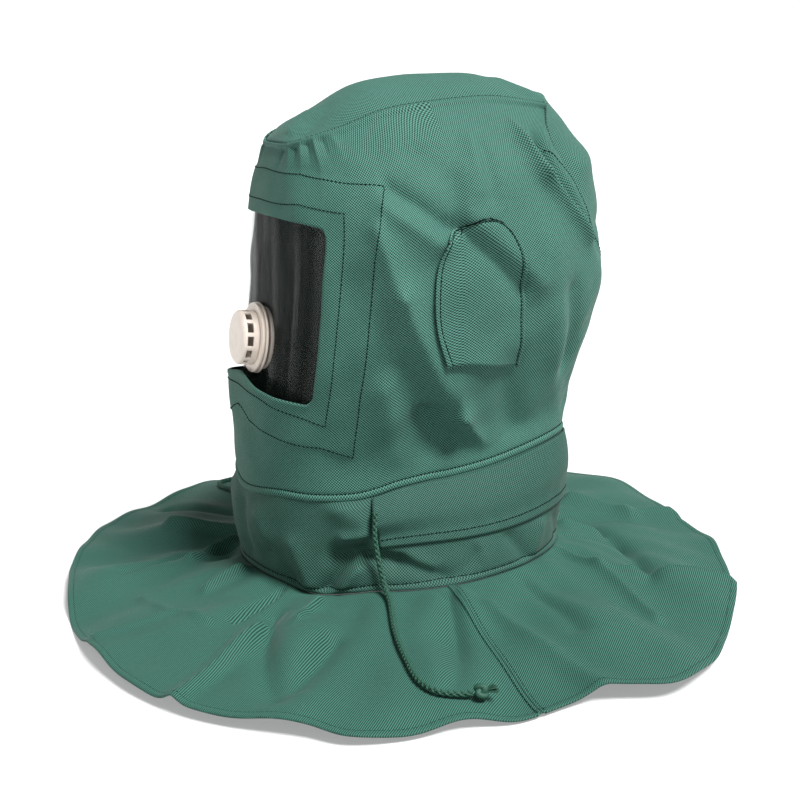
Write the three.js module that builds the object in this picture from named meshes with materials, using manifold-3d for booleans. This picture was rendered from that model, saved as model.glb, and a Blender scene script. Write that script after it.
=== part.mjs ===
// Sandblasting hood, in millimetres, +Z up. The window faces -Y and the wearer's left side is +X.
// The cloth pieces are thin shells on shared surfaces, so neighbours meet at one common seam.
import * as THREE from "three";
import { mergeVertices } from "three/addons/utils/BufferGeometryUtils.js";
import Module from "manifold-3d";

const wasm = await Module();
wasm.setup();

// Cloth and clearances
const CLOTH = 1.4;
const SEAM_GAP = 0.3;
const LAID_GAP = 0.35;

// Heights above the table level that the cape rim reaches
const CAPE_SEAM_HEIGHT = 30;
const NECK_SEAM_HEIGHT = 95;
const NECK_SEAM_REAR_RISE = 26;
const NECK_SEAM_POWER = 1.6;
const CROWN_SEAM_HEIGHT = 370;

// Plan sizes of the head part, measured from the vertical neck axis
const HEAD_HALF_WIDTH = 108;
const HEAD_FRONT = 130;
const HEAD_REAR = 150;
const REAR_ROUNDING = 0.9;
const STRIP_HALF_WIDTH = 50;
const STRIP_RISE = 40;

// Neck band and cape
const CAPE_SEAM_HALF_WIDTH = 114;
const CAPE_SEAM_HALF_DEPTH = 125;
const CAPE_RADIUS = 272;
const CAPE_SEAM_ANGLE = 86;
const CAPE_RIM_HEIGHT = 5;
const CAPE_WAVE = 10;
const CAPE_SLOPE_POWER = 0.85;
const WAVE_TURN = 0.75;
const WAVE_POWER = 0.8;
const BAND_SWELL = 5;
const BAND_SWELL_MEAN = 0.6;
const BAND_SWELL_WAVE = 0.4;

// Window
const WINDOW_HALF_RUN = 0.24;
const WINDOW_BOTTOM = 0.325;
const WINDOW_TOP = 0.8;
const WINDOW_TOP_DROOP = 0.04;
const WINDOW_DROOP = 0.05;
const WINDOW_DROOP_POWER = 1.5;
const SHEET_LAP_RUN = 0.035;
const SHEET_LAP_HEIGHT = 0.05;
const SHEET_THICKNESS = 0.8;
const SHEET_SET_BACK = 6.5;
const SHEET_FLAT_BELOW = 0.5;
const SHEET_BOW_POWER = 0.8;

// Exhaust valve on the window
const VALVE_HEIGHT = 200;
const FLANGE_DIAMETER = 52;
const FLANGE_RIM = 2;
const FLANGE_GROOVE = 1.6;
const FLANGE_DISC = 2.2;
const FLANGE_GROOVE_DEPTH = 3;
const FLANGE_DISC_STEP = 0.5;
const CAP_DIAMETER = 40;
const CAP_FACE_DIAMETER = 31;
const CAP_LENGTH = 10;
const CAP_WALL = 2;
const CAP_SHOULDER = 3;
const CAP_SLOTS = 12;
const CAP_BAR = 3;
const CAP_SLOT_LENGTH = 5;
const VALVE_BORE = 26;
const HUB_DIAMETER = 31;
const CLAMP_DIAMETER = 46;
const CLAMP_THICKNESS = 2.5;
const CLAMP_MARGIN = 6;
const CAP_SLOT_INSET = 0.6;

// Cord casing, ear flaps and draw cord
const CASING_START_ANGLE = 54;
const CASING_BOTTOM = 0.56;
const CASING_TUNNEL = 5;
const CASING_BACK_TUNNEL = 2;
const CASING_MOUTH_COLUMNS = 3;
const CASING_LAY = 0.5;
const FLAP_CENTRE_RUN = 0.535;
const FLAP_GAP = 0.6;
const FLAP_TILT = 0.016;
const FLAP_BOTTOM = 0.33;
const FLAP_SHOULDER = 0.58;
const FLAP_TOP_SHARE = 0.3;
const FLAP_GAPE = 2.5;
const FLAP_WIDTH = 70;
const FLAP_HEIGHT = 103;
const CORD_DIAMETER = 4.6;
const CORD_STEPS = 26;
const KNOT_LENGTH = 17;
const KNOT_DIAMETER = 11;

// Head panel, a row for each height: the depth in front, half width, rear seam and corner squareness
const PANEL_SECTIONS = [
  { height: 0.0, front: 0.965, side: 0.8, rear: 0.745, square: 2.7 },
  { height: 0.1, front: 0.985, side: 0.79, rear: 0.767, square: 2.7 },
  { height: 0.23, front: 0.975, side: 0.89, rear: 0.798, square: 2.6 },
  { height: 0.36, front: 0.945, side: 0.97, rear: 0.875, square: 2.6 },
  { height: 0.5, front: 0.918, side: 1.0, rear: 0.93, square: 2.6 },
  { height: 0.6, front: 0.895, side: 1.0, rear: 0.915, square: 2.6 },
  { height: 0.7, front: 0.87, side: 0.985, rear: 0.84, square: 2.6 },
  { height: 0.82, front: 0.842, side: 0.885, rear: 0.715, square: 2.6 },
  { height: 0.92, front: 0.8, side: 0.69, rear: 0.63, square: 2.8 },
  { height: 1.0, front: 0.745, side: 0.463, rear: 0.62, square: 4.0 },
];

// Crown seam from the forehead to the rear corner: place as a share of the depths, height as a share
const CROWN_SEAM = [
  { along: -0.76, height: 0.915 },
  { along: -0.66, height: 0.931 },
  { along: -0.48, height: 0.951 },
  { along: -0.27, height: 0.978 },
  { along: -0.03, height: 0.992 },
  { along: 0.31, height: 1.002 },
  { along: 0.5, height: 0.995 },
  { along: 0.62, height: 0.989 },
];

// Crown strip's rise over its seams, from the neck seam at the back over the top to the forehead
const STRIP_DOME = [
  { along: 0.0, back: 0.42, up: 0.0 },
  { along: 0.115, back: 0.45, up: 0.0 },
  { along: 0.18, back: 0.52, up: 0.01 },
  { along: 0.24, back: 0.6, up: 0.02 },
  { along: 0.29, back: 0.7, up: 0.03 },
  { along: 0.335, back: 0.88, up: 0.05 },
  { along: 0.41, back: 1.15, up: 0.12 },
  { along: 0.46, back: 0.95, up: 0.19 },
  { along: 0.5, back: 0.4, up: 0.26 },
  { along: 0.56, back: 0.05, up: 0.41 },
  { along: 0.66, back: 0.0, up: 0.46 },
  { along: 0.76, back: 0.0, up: 0.45 },
  { along: 0.86, back: 0.0, up: 0.26 },
  { along: 0.94, back: -0.04, up: 0.1 },
  { along: 1.0, back: 0.0, up: 0.0 },
];

// Folds of the head panel: run and height of both ends, half width and depth in millimetres
const PANEL_FOLDS = [
  { run0: 0.0, height0: 0.3, run1: 0.12, height1: 0.275, width: 20, rise: 2 },
  { run0: 0.3, height0: 0.72, run1: 0.44, height1: 0.6, width: 18, rise: 3 },
  { run0: 0.3, height0: 0.6, run1: 0.45, height1: 0.12, width: 18, rise: 4 },
  { run0: 0.42, height0: 0.08, run1: 0.6, height1: 0.16, width: 16, rise: -5 },
  { run0: 0.84, height0: 0.9, run1: 0.9, height1: 0.5, width: 18, rise: -4 },
];

// Folds of the cape: angle and half width in degrees, height as a share, start and end along its slope
const CAPE_FOLDS = [
  { angle: -150, width: 16, height: 1.1, start: 0.35 },
  { angle: -112, width: 12, height: 0.8, start: 0.3 },
  { angle: -72, width: 11, height: 0.7, start: 0.2 },
  { angle: -38, width: 9, height: 0.8, start: 0.1 },
  { angle: -12, width: 7, height: 0.6, start: 0.25 },
  { angle: 20, width: 8, height: 0.7, start: 0.15 },
  { angle: 48, width: 9, height: 0.8, start: 0.2 },
  { angle: 74, width: 7, height: 0.5, start: 0.4 },
  { angle: 108, width: 9, height: 0.8, start: 0.2 },
  { angle: 140, width: 9, height: 0.8, start: 0.15 },
  { angle: 168, width: 8, height: 0.7, start: 0.2 },
];

// Cape rim: its radius as a share at each angle from the front towards the left
const CAPE_RIM = [
  { angle: -180, radius: 0.97 },
  { angle: -153, radius: 1.1 },
  { angle: -120, radius: 1.03 },
  { angle: -90, radius: 1.04 },
  { angle: -60, radius: 1.0 },
  { angle: -30, radius: 0.955 },
  { angle: 0, radius: 0.95 },
  { angle: 22, radius: 1.0 },
  { angle: 40, radius: 1.06 },
  { angle: 60, radius: 1.085 },
  { angle: 78, radius: 1.0 },
  { angle: 94, radius: 0.965 },
  { angle: 108, radius: 1.055 },
  { angle: 130, radius: 0.975 },
  { angle: 155, radius: 0.96 },
  { angle: 180, radius: 0.97 },
];

// Draw cord: the left end leaves the casing, falls down the band and lies on the cape
const CORD_LEFT = [
  [92.5, -58.5, 86],
  [95.5, -60, 70],
  [100.5, -59, 52],
  [105.8, -57.5, 38],
  [112, -57.5, 32.4],
  [121, -59, 29.8],
  [156, -70, 23.7],
  [192.5, -78, 20],
  [226, -82, 17.2],
  [241, -77, 16],
  [249, -63, 15.2],
  [250.6, -57.5, 15.8],
];
const CORD_RIGHT = [
  [-92.5, -58.5, 86],
  [-95.5, -60, 70],
  [-100.5, -59, 52],
  [-105.8, -57.5, 38],
  [-112, -57.5, 32.4],
  [-121, -59, 29.8],
  [-156, -70, 26.1],
  [-192.5, -78, 23.4],
  [-226, -82, 19.4],
  [-241, -77, 17.8],
  [-249, -63, 17.2],
  [-250.6, -57.5, 18.6],
];

// Share of the crown strip's seam that runs up the back
const REAR_SHARE = 0.5;

// Grid steps
const HALF_COLUMNS = 22;
const WINDOW_COLUMNS = 6;
const PANEL_ROWS = { belowLap: 3, bottomLap: 1, window: 4, topLap: 1, above: 5 };
const STRIP_COLUMNS = 10;
const BAND_ROWS = 4;
const CAPE_COLUMNS = 84;
const CAPE_ROWS = 6;

const radians = (degrees) => (degrees * Math.PI) / 180;
const mix = (a, b, share) => a + (b - a) * share;
const clamp = (x, low, high) => Math.min(high, Math.max(low, x));
const bell = (x) => Math.exp(-x * x);

// Smooth curve through one column of a table, against another column.
function reading(table, key, column, x) {
  const last = table.length - 1;
  const at = clamp(x, table[0][key], table[last][key]);
  let k = 0;
  while (k < last - 1 && at > table[k + 1][key]) k += 1;
  const slope = (n) => {
    const a = table[Math.max(n - 1, 0)];
    const b = table[Math.min(n + 1, last)];
    return (b[column] - a[column]) / (b[key] - a[key]);
  };
  const span = table[k + 1][key] - table[k][key];
  const t = (at - table[k][key]) / span;
  const rest = 1 - t;
  return (
    table[k][column] * (1 + 2 * t) * rest * rest +
    table[k + 1][column] * t * t * (3 - 2 * t) +
    span * t * rest * (slope(k) * rest - slope(k + 1) * t)
  );
}

// Head panel surface. run goes from 0 in front to 1 at the rear seam, and is negative on the right.
function panelPlan(run, height) {
  const part = (column) => reading(PANEL_SECTIONS, "height", column, height);
  const half = part("side") * HEAD_HALF_WIDTH;
  const turn = Math.abs(run) * 2;
  if (turn <= 1) {
    const power = 2 / part("square");
    const angle = (turn * Math.PI) / 2;
    const x = half * Math.sin(angle) ** power;
    const y = -part("front") * HEAD_FRONT * Math.abs(Math.cos(angle)) ** power;
    return [x, y];
  }
  const angle = ((turn - 1) * Math.PI) / 2;
  const x = mix(STRIP_HALF_WIDTH, half, Math.max(Math.cos(angle), 0) ** REAR_ROUNDING);
  const y = part("rear") * HEAD_REAR * Math.sin(angle) ** REAR_ROUNDING;
  return [x, y];
}

function neckSeamHeight(y) {
  const share = clamp((y + HEAD_FRONT) / (HEAD_FRONT + HEAD_REAR), 0, 1);
  return NECK_SEAM_HEIGHT + NECK_SEAM_REAR_RISE * share ** NECK_SEAM_POWER;
}

function crownSeamHeight(y) {
  const share = y < 0 ? y / HEAD_FRONT : y / HEAD_REAR;
  return CROWN_SEAM_HEIGHT * reading(CROWN_SEAM, "along", "height", share);
}

function smoothPanelPoint(run, height) {
  const [x, y] = panelPlan(run, height);
  const low = neckSeamHeight(panelPlan(run, 0)[1]);
  const high = crownSeamHeight(panelPlan(run, 1)[1]);
  return new THREE.Vector3(Math.sign(run) * x, y, mix(low, high, height));
}

// Outward unit normal of a surface by small steps along both of its parameters.
function normalOf(surface, a, b, step = 0.004) {
  const alongA = surface(a + step, b).sub(surface(a - step, b));
  const alongB = surface(a, b + step).sub(surface(a, b - step));
  return alongA.cross(alongB).normalize();
}

function foldRise(folds, run, height, runLength, heightLength) {
  let rise = 0;
  for (const fold of folds) {
    const dx = (fold.run1 - fold.run0) * runLength;
    const dy = (fold.height1 - fold.height0) * heightLength;
    const px = (Math.abs(run) - fold.run0) * runLength;
    const py = (height - fold.height0) * heightLength;
    const share = clamp((px * dx + py * dy) / (dx * dx + dy * dy), 0, 1);
    const away = Math.hypot(px - dx * share, py - dy * share);
    rise += fold.rise * bell(away / fold.width);
  }
  return rise;
}

function panelPoint(run, height) {
  const point = smoothPanelPoint(run, height);
  const edge = clamp(height / 0.08, 0, 1) * clamp((1 - height) / 0.08, 0, 1);
  const rear = clamp((1 - Math.abs(run)) / 0.05, 0, 1);
  const runLength = HEAD_FRONT + HEAD_HALF_WIDTH + HEAD_REAR;
  const rise = foldRise(PANEL_FOLDS, run, height, runLength, CROWN_SEAM_HEIGHT - NECK_SEAM_HEIGHT);
  if (Math.abs(rise) * edge * rear < 0.01) return point;
  const inside = clamp(height, 0.01, 0.99);
  const normal = normalOf(smoothPanelPoint, clamp(run, -0.98, 0.98), inside);
  return point.addScaledVector(normal, rise * edge * rear);
}

// Crown strip: along runs from the neck at the back to the forehead, across from -1 to 1.
function seamPoint(along) {
  if (along <= REAR_SHARE) return panelPoint(1, along / REAR_SHARE);
  return panelPoint((1 - along) / (1 - REAR_SHARE), 1);
}

function stripPoint(along, across) {
  const seam = seamPoint(along);
  const lift = 1 - across * across;
  const back = reading(STRIP_DOME, "along", "back", along) * STRIP_RISE;
  const up = reading(STRIP_DOME, "along", "up", along) * STRIP_RISE;
  return new THREE.Vector3(seam.x * across, seam.y + back * lift, seam.z + up * lift);
}

// Neck band between the neck seam, made of both pieces above it, and the cape seam.
function capeSeamPoint(angle) {
  const x = CAPE_SEAM_HALF_WIDTH * Math.sin(angle);
  const y = -CAPE_SEAM_HALF_DEPTH * Math.cos(angle);
  return new THREE.Vector3(x, y, CAPE_SEAM_HEIGHT);
}

function bandPoint(top, drop) {
  const angle = Math.atan2(top.x, -top.y);
  const low = capeSeamPoint(angle);
  const point = top.clone().lerp(low, drop);
  const round = BAND_SWELL_MEAN + BAND_SWELL_WAVE * Math.cos(3 * angle);
  const swell = BAND_SWELL * Math.sin(Math.PI * drop) * round;
  point.x += Math.sin(angle) * swell;
  point.y -= Math.cos(angle) * swell;
  return point;
}

// Cape between its seam and its rim, waved by the fold table.
function capePoint(degrees, out) {
  const angle = radians(degrees);
  const start = capeSeamPoint(angle);
  const round = ((((degrees + 180) % 360) + 360) % 360) - 180;
  const radius = CAPE_RADIUS * reading(CAPE_RIM, "angle", "radius", round);
  const x = mix(start.x, radius * Math.sin(angle), out);
  const y = mix(start.y, -radius * Math.cos(angle), out);
  let z = mix(start.z, CAPE_RIM_HEIGHT, out ** CAPE_SLOPE_POWER);
  for (const fold of CAPE_FOLDS) {
    const off = ((((degrees - fold.angle + 180) % 360) + 360) % 360) - 180;
    const grown = clamp((out - fold.start) / (1 - fold.start), 0, 1);
    const lift = Math.sin(Math.PI * WAVE_TURN * grown ** WAVE_POWER);
    z += CAPE_WAVE * fold.height * bell(off / fold.width) * lift;
  }
  return new THREE.Vector3(x, y, z);
}

// A sheet is a grid of outer points with a list of the cells that are cloth.
function makeSheet(columns, rows, pointAt, options = {}) {
  const points = [];
  for (let i = 0; i <= columns; i += 1) {
    points.push([]);
    for (let j = 0; j <= rows; j += 1) points[i].push(pointAt(i, j));
  }
  return { columns, rows, points, isCloth: options.isCloth ?? (() => true), round: options.round ?? false };
}

// Area-weighted normals at the grid's points.
function gridNormals(sheet) {
  const normals = sheet.points.map((line) => line.map(() => new THREE.Vector3()));
  for (let i = 0; i < sheet.columns; i += 1) {
    for (let j = 0; j < sheet.rows; j += 1) {
      const corners = [[i, j], [i + 1, j], [i + 1, j + 1], [i, j + 1]];
      const [a, b, c, d] = corners.map(([m, n]) => sheet.points[m][n]);
      const face = c.clone().sub(a).cross(d.clone().sub(b));
      for (const [m, n] of corners) normals[m][n].add(face);
    }
  }
  if (sheet.round) {
    for (let j = 0; j <= sheet.rows; j += 1) {
      const both = normals[0][j].clone().add(normals[sheet.columns][j]);
      normals[0][j].copy(both);
      normals[sheet.columns][j].copy(both);
    }
  }
  for (const line of normals) for (const normal of line) normal.normalize();
  return normals;
}

const placeKey = (p) => [p.x, p.y, p.z].map((c) => Math.round(c * 50)).join(" ");

// Offset directions that neighbours share along their common seams, so that walls meet on a mitre.
function mitreDirections(sheets) {
  const meeting = new Map();
  for (const sheet of sheets) {
    sheet.normals = gridNormals(sheet);
    const own = new Map();
    sheet.points.forEach((line, i) =>
      line.forEach((point, j) => {
        const key = placeKey(point);
        if (!own.has(key)) own.set(key, sheet.normals[i][j].clone());
      }),
    );
    for (const [key, normal] of own) {
      if (!meeting.has(key)) meeting.set(key, []);
      meeting.get(key).push(normal);
    }
  }
  for (const sheet of sheets) {
    sheet.offsets = sheet.points.map((line, i) =>
      line.map((point, j) => {
        const group = meeting.get(placeKey(point));
        if (group.length < 2) return sheet.normals[i][j].clone();
        const sum = group.reduce((total, n) => total.add(n), new THREE.Vector3());
        const mean = sum.clone().normalize();
        const reach = Math.min(...group.map((n) => n.dot(mean)));
        return mean.multiplyScalar(1 / Math.max(reach, 0.6));
      }),
    );
  }
}

// Moves a sheet's border back from its seam line by half the seam gap.
function easeBorders(sheet, sides, gap = SEAM_GAP / 2) {
  const { points, columns, rows } = sheet;
  const pull = (from, towards) => {
    const step = towards.clone().sub(from);
    const length = step.length();
    return length < 1e-6 ? from.clone() : from.clone().addScaledVector(step, gap / length);
  };
  if (sides.includes("bottom")) for (const line of points) line[0] = pull(line[0], line[1]);
  if (sides.includes("top")) for (const line of points) line[rows] = pull(line[rows], line[rows - 1]);
  const ease = (edge, next) => {
    points[edge] = points[edge].map((point, j) => pull(point, points[next][j]));
  };
  if (sides.includes("start")) ease(0, 1);
  if (sides.includes("end")) ease(columns, columns - 1);
}

// Closed shell of a sheet: outer faces, inner faces and a wall round every open edge.
function shellOf(sheet, thickness) {
  const { columns, rows, points, offsets, round, isCloth } = sheet;
  const places = [];
  const indices = new Map();
  const put = (point) => {
    const key = [point.x, point.y, point.z].map((c) => Math.round(c * 500)).join(" ");
    if (!indices.has(key)) {
      indices.set(key, places.length / 3);
      places.push(point.x, point.y, point.z);
    }
    return indices.get(key);
  };
  const wrap = (i) => (round ? i % columns : i);
  const outer = (i, j) => put(points[wrap(i)][j]);
  const inner = (i, j) => put(points[wrap(i)][j].clone().addScaledVector(offsets[wrap(i)][j], -thickness));
  const triangles = [];
  const face = (a, b, c) => {
    if (a !== b && b !== c && c !== a) triangles.push(a, b, c);
  };
  const quad = (a, b, c, d) => {
    face(a, b, c);
    face(a, c, d);
  };
  const filled = (i, j) => {
    if (j < 0 || j >= rows) return false;
    if (round) return isCloth((i + columns) % columns, j);
    return i >= 0 && i < columns && isCloth(i, j);
  };
  for (let i = 0; i < columns; i += 1) {
    for (let j = 0; j < rows; j += 1) {
      if (!filled(i, j)) continue;
      quad(outer(i, j), outer(i + 1, j), outer(i + 1, j + 1), outer(i, j + 1));
      quad(inner(i, j), inner(i, j + 1), inner(i + 1, j + 1), inner(i + 1, j));
      if (!filled(i, j - 1)) quad(inner(i, j), inner(i + 1, j), outer(i + 1, j), outer(i, j));
      if (!filled(i, j + 1)) {
        quad(outer(i, j + 1), outer(i + 1, j + 1), inner(i + 1, j + 1), inner(i, j + 1));
      }
      if (!filled(i - 1, j)) quad(inner(i, j), outer(i, j), outer(i, j + 1), inner(i, j + 1));
      if (!filled(i + 1, j)) {
        quad(outer(i + 1, j), inner(i + 1, j), inner(i + 1, j + 1), outer(i + 1, j + 1));
      }
    }
  }
  const geometry = new THREE.BufferGeometry();
  geometry.setAttribute("position", new THREE.Float32BufferAttribute(places, 3));
  geometry.setIndex(triangles);
  return geometry;
}

// Solid for a boolean from a closed geometry, and the geometry of a finished solid.
function solidOf(geometry) {
  const plain = geometry.clone();
  plain.deleteAttribute("normal");
  plain.deleteAttribute("uv");
  const merged = mergeVertices(plain, 1e-4);
  const triVerts = new Uint32Array(merged.index.array);
  const vertProperties = merged.attributes.position.array;
  return new wasm.Manifold(new wasm.Mesh({ numProp: 3, vertProperties, triVerts }));
}

function geometryOf(solid) {
  const mesh = solid.getMesh();
  const geometry = new THREE.BufferGeometry();
  geometry.setAttribute("position", new THREE.Float32BufferAttribute(mesh.vertProperties, 3));
  geometry.setIndex(new THREE.BufferAttribute(mesh.triVerts, 1));
  return geometry;
}

// The origin is the head seat: the inner face of the crown, over the neck axis
const headSeat = stripPoint(1 - (1 - REAR_SHARE) / 2, 0).z - CLOTH;
const hood = new THREE.Group();
const raised = new THREE.Group();
raised.position.z = -headSeat;
hood.add(raised);

function addPiece(name, geometry, material, parent = raised) {
  geometry.computeVertexNormals();
  const mesh = new THREE.Mesh(geometry, material);
  mesh.name = name;
  parent.add(mesh);
  return mesh;
}

const cloth = new THREE.MeshStandardMaterial({ color: "#3f7a66", roughness: 0.75, metalness: 0 });
const cordFinish = new THREE.MeshStandardMaterial({ color: "#2e5f4f", roughness: 0.8, metalness: 0 });
const clear = new THREE.MeshStandardMaterial({
  color: "#e8f0ee",
  roughness: 0.1,
  metalness: 0,
  transparent: true,
  opacity: 0.35,
});
const cream = new THREE.MeshStandardMaterial({ color: "#e6e0cf", roughness: 0.45, metalness: 0 });

// Grid lines of the head panel, placed so that the window and the sheet's lap fall on whole lines
function panelRun(i) {
  const side = Math.sign(i - HALF_COLUMNS);
  const k = Math.abs(i - HALF_COLUMNS);
  if (k <= WINDOW_COLUMNS) return (side * WINDOW_HALF_RUN * k) / WINDOW_COLUMNS;
  const lap = WINDOW_HALF_RUN + SHEET_LAP_RUN;
  if (k === WINDOW_COLUMNS + 1) return side * lap;
  return side * mix(lap, 1, (k - WINDOW_COLUMNS - 1) / (HALF_COLUMNS - WINDOW_COLUMNS - 1));
}

function windowDroop(run, depth) {
  const share = Math.min(1, Math.abs(run) / WINDOW_HALF_RUN);
  return depth * share ** WINDOW_DROOP_POWER;
}

const windowBottom = (run) => WINDOW_BOTTOM - windowDroop(run, WINDOW_DROOP);
const windowTop = (run) => WINDOW_TOP - windowDroop(run, WINDOW_TOP_DROOP);

const rowLimits = (() => {
  const counts = PANEL_ROWS;
  const lapLow = counts.belowLap;
  const low = lapLow + counts.bottomLap;
  const high = low + counts.window;
  const lapHigh = high + counts.topLap;
  return { lapLow, low, high, lapHigh, all: lapHigh + counts.above };
})();

function panelHeight(j, run) {
  const marks = [
    [0, 0],
    [rowLimits.lapLow, windowBottom(run) - SHEET_LAP_HEIGHT],
    [rowLimits.low, windowBottom(run)],
    [rowLimits.high, windowTop(run)],
    [rowLimits.lapHigh, windowTop(run) + SHEET_LAP_HEIGHT],
    [rowLimits.all, 1],
  ];
  const k = marks.findIndex(([row]) => j <= row);
  if (k === 0) return 0;
  const [row0, height0] = marks[k - 1];
  const [row1, height1] = marks[k];
  return mix(height0, height1, (j - row0) / (row1 - row0));
}

// Head panel, crown strip and neck band, which share their seams
const inWindow = (i, j) =>
  Math.abs(i + 0.5 - HALF_COLUMNS) < WINDOW_COLUMNS && j >= rowLimits.low && j < rowLimits.high;
const panelSheet = makeSheet(
  2 * HALF_COLUMNS,
  rowLimits.all,
  (i, j) => panelPoint(panelRun(i), panelHeight(j, panelRun(i))),
  { isCloth: (i, j) => !inWindow(i, j) },
);

const stripAlong = (k) => {
  if (k <= rowLimits.all) return REAR_SHARE * panelHeight(k, 1);
  return 1 - (1 - REAR_SHARE) * panelRun(2 * HALF_COLUMNS + rowLimits.all - k);
};
const stripRows = rowLimits.all + HALF_COLUMNS;
const stripSheet = makeSheet(STRIP_COLUMNS, stripRows, (i, k) =>
  stripPoint(stripAlong(k), 1 - (2 * i) / STRIP_COLUMNS),
);

const ringColumns = 2 * HALF_COLUMNS + STRIP_COLUMNS;
function neckRing(i) {
  const around = i % ringColumns;
  if (around <= 2 * HALF_COLUMNS) return panelSheet.points[around][0].clone();
  return stripSheet.points[around - 2 * HALF_COLUMNS][0].clone();
}
const bandSheet = makeSheet(
  ringColumns,
  BAND_ROWS,
  (i, j) => bandPoint(neckRing(i), 1 - j / BAND_ROWS),
  { round: true },
);

// Cord casing, laid on the band from its mouth on the left round the back to the right
const ringAngle = (i) => (Math.atan2(neckRing(i).x, -neckRing(i).y) * 180) / Math.PI;
const casingStart = (() => {
  let i = HALF_COLUMNS;
  while (ringAngle(i) < CASING_START_ANGLE) i += 1;
  return i;
})();
const casingColumns = 2 * (HALF_COLUMNS + ringColumns / 2 - casingStart);
const casingRows = [
  { drop: CASING_BOTTOM, off: 0 },
  { drop: CASING_BOTTOM * 0.8, off: 0 },
  { drop: CASING_BOTTOM * 0.55, off: 1 },
  { drop: CASING_BOTTOM * 0.3, off: 0.85 },
  { drop: 0.04, off: 0 },
];

mitreDirections([panelSheet, stripSheet, bandSheet]);

const casingSheet = makeSheet(casingColumns, casingRows.length - 1, (k, j) => {
  const i = casingStart + k;
  const row = casingRows[j];
  const top = neckRing(i);
  const point = bandPoint(top, row.drop);
  const angle = Math.atan2(top.x, -top.y);
  const fromMouth = Math.min(k, casingColumns - k) / CASING_MOUTH_COLUMNS;
  const tunnel = mix(CASING_BACK_TUNNEL, CASING_TUNNEL, bell(fromMouth));
  const out = CASING_LAY + CLOTH + tunnel * row.off;
  return point.add(new THREE.Vector3(Math.sin(angle) * out, -Math.cos(angle) * out, 0));
});
mitreDirections([casingSheet]);

easeBorders(panelSheet, ["bottom", "top", "start", "end"]);
easeBorders(stripSheet, ["bottom", "start", "end"]);
easeBorders(bandSheet, ["bottom", "top"]);
addPiece("hood_panel", shellOf(panelSheet, CLOTH), cloth);
addPiece("crown_strip", shellOf(stripSheet, CLOTH), cloth);
addPiece("neck_band", shellOf(bandSheet, CLOTH), cloth);
addPiece("cord_casing", shellOf(casingSheet, CLOTH), cloth);

// Cape halves, joined by the shoulder seams
function capeHalf(name, fromAngle, toAngle) {
  const columns = Math.round((CAPE_COLUMNS * (toAngle - fromAngle)) / 360);
  const sheet = makeSheet(columns, CAPE_ROWS, (i, j) =>
    capePoint(mix(fromAngle, toAngle, i / columns), 1 - j / CAPE_ROWS),
  );
  mitreDirections([sheet]);
  easeBorders(sheet, ["top", "start", "end"]);
  addPiece(name, shellOf(sheet, CLOTH), cloth);
}
capeHalf("cape_front", -CAPE_SEAM_ANGLE, CAPE_SEAM_ANGLE);
capeHalf("cape_back", CAPE_SEAM_ANGLE, 360 - CAPE_SEAM_ANGLE);

// Closed solid of a profile turned about +Z, given as radius and place along the axis
function turned(profile, sides) {
  const points = profile.map(([radius, along]) => new THREE.Vector2(radius, along));
  return new THREE.LatheGeometry(points, sides).rotateX(Math.PI / 2);
}

// Clear sheet's outer surface: close behind the panel at its sides and top, set back in the middle
const sheetDepth = CLOTH + LAID_GAP;
function sheetPoint(run, height) {
  const lap = WINDOW_HALF_RUN + SHEET_LAP_RUN;
  const topLap = windowTop(run) + SHEET_LAP_HEIGHT;
  const down = clamp((topLap - height) / (topLap - SHEET_FLAT_BELOW), 0, 1);
  const across = Math.cos((Math.PI / 2) * clamp(run / lap, -1, 1)) ** SHEET_BOW_POWER;
  const back = sheetDepth + SHEET_SET_BACK * across * down * down * (3 - 2 * down);
  return smoothPanelPoint(run, height).addScaledVector(normalOf(smoothPanelPoint, run, height), -back);
}

const valveRow = (VALVE_HEIGHT - NECK_SEAM_HEIGHT) / (crownSeamHeight(-HEAD_FRONT) - NECK_SEAM_HEIGHT);
const valveAxis = normalOf(sheetPoint, 0, valveRow);
const valveSeat = sheetPoint(0, valveRow);

// Valve frame on the sheet: its +Z axis is the sheet's own normal
const valve = new THREE.Group();
valve.position.copy(valveSeat);
valve.quaternion.setFromUnitVectors(new THREE.Vector3(0, 0, 1), valveAxis);
raised.add(valve);
valve.updateMatrix();

// Clear sheet behind the window, on the panel's own grid lines
const sheetFirst = HALF_COLUMNS - WINDOW_COLUMNS - 1;
const sheetSheet = makeSheet(2 * (WINDOW_COLUMNS + 1), rowLimits.lapHigh - rowLimits.lapLow, (k, j) => {
  const i = sheetFirst + k;
  const row = rowLimits.lapLow + j;
  return sheetPoint(panelRun(i), panelHeight(row, panelRun(i)));
});
mitreDirections([sheetSheet]);
const hubRadius = HUB_DIAMETER / 2;
const hubHole = new THREE.CylinderGeometry(hubRadius + SEAM_GAP, hubRadius + SEAM_GAP, 40, 28);
hubHole.rotateX(Math.PI / 2).applyMatrix4(valve.matrix);
const sheetSolid = solidOf(shellOf(sheetSheet, SHEET_THICKNESS)).subtract(solidOf(hubHole));
addPiece("window_sheet", geometryOf(sheetSolid), clear);

// How far the sheet falls away from the valve's plane within the clamp ring
const sheetSag = (() => {
  const flat = valve.matrix.clone().invert();
  let lowest = 0;
  for (const line of sheetSheet.points) {
    for (const point of line) {
      const local = point.clone().applyMatrix4(flat);
      const near = Math.hypot(local.x, local.y) < CLAMP_DIAMETER / 2 + CLAMP_MARGIN;
      if (near) lowest = Math.min(lowest, local.z);
    }
  }
  return -lowest;
})();

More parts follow.
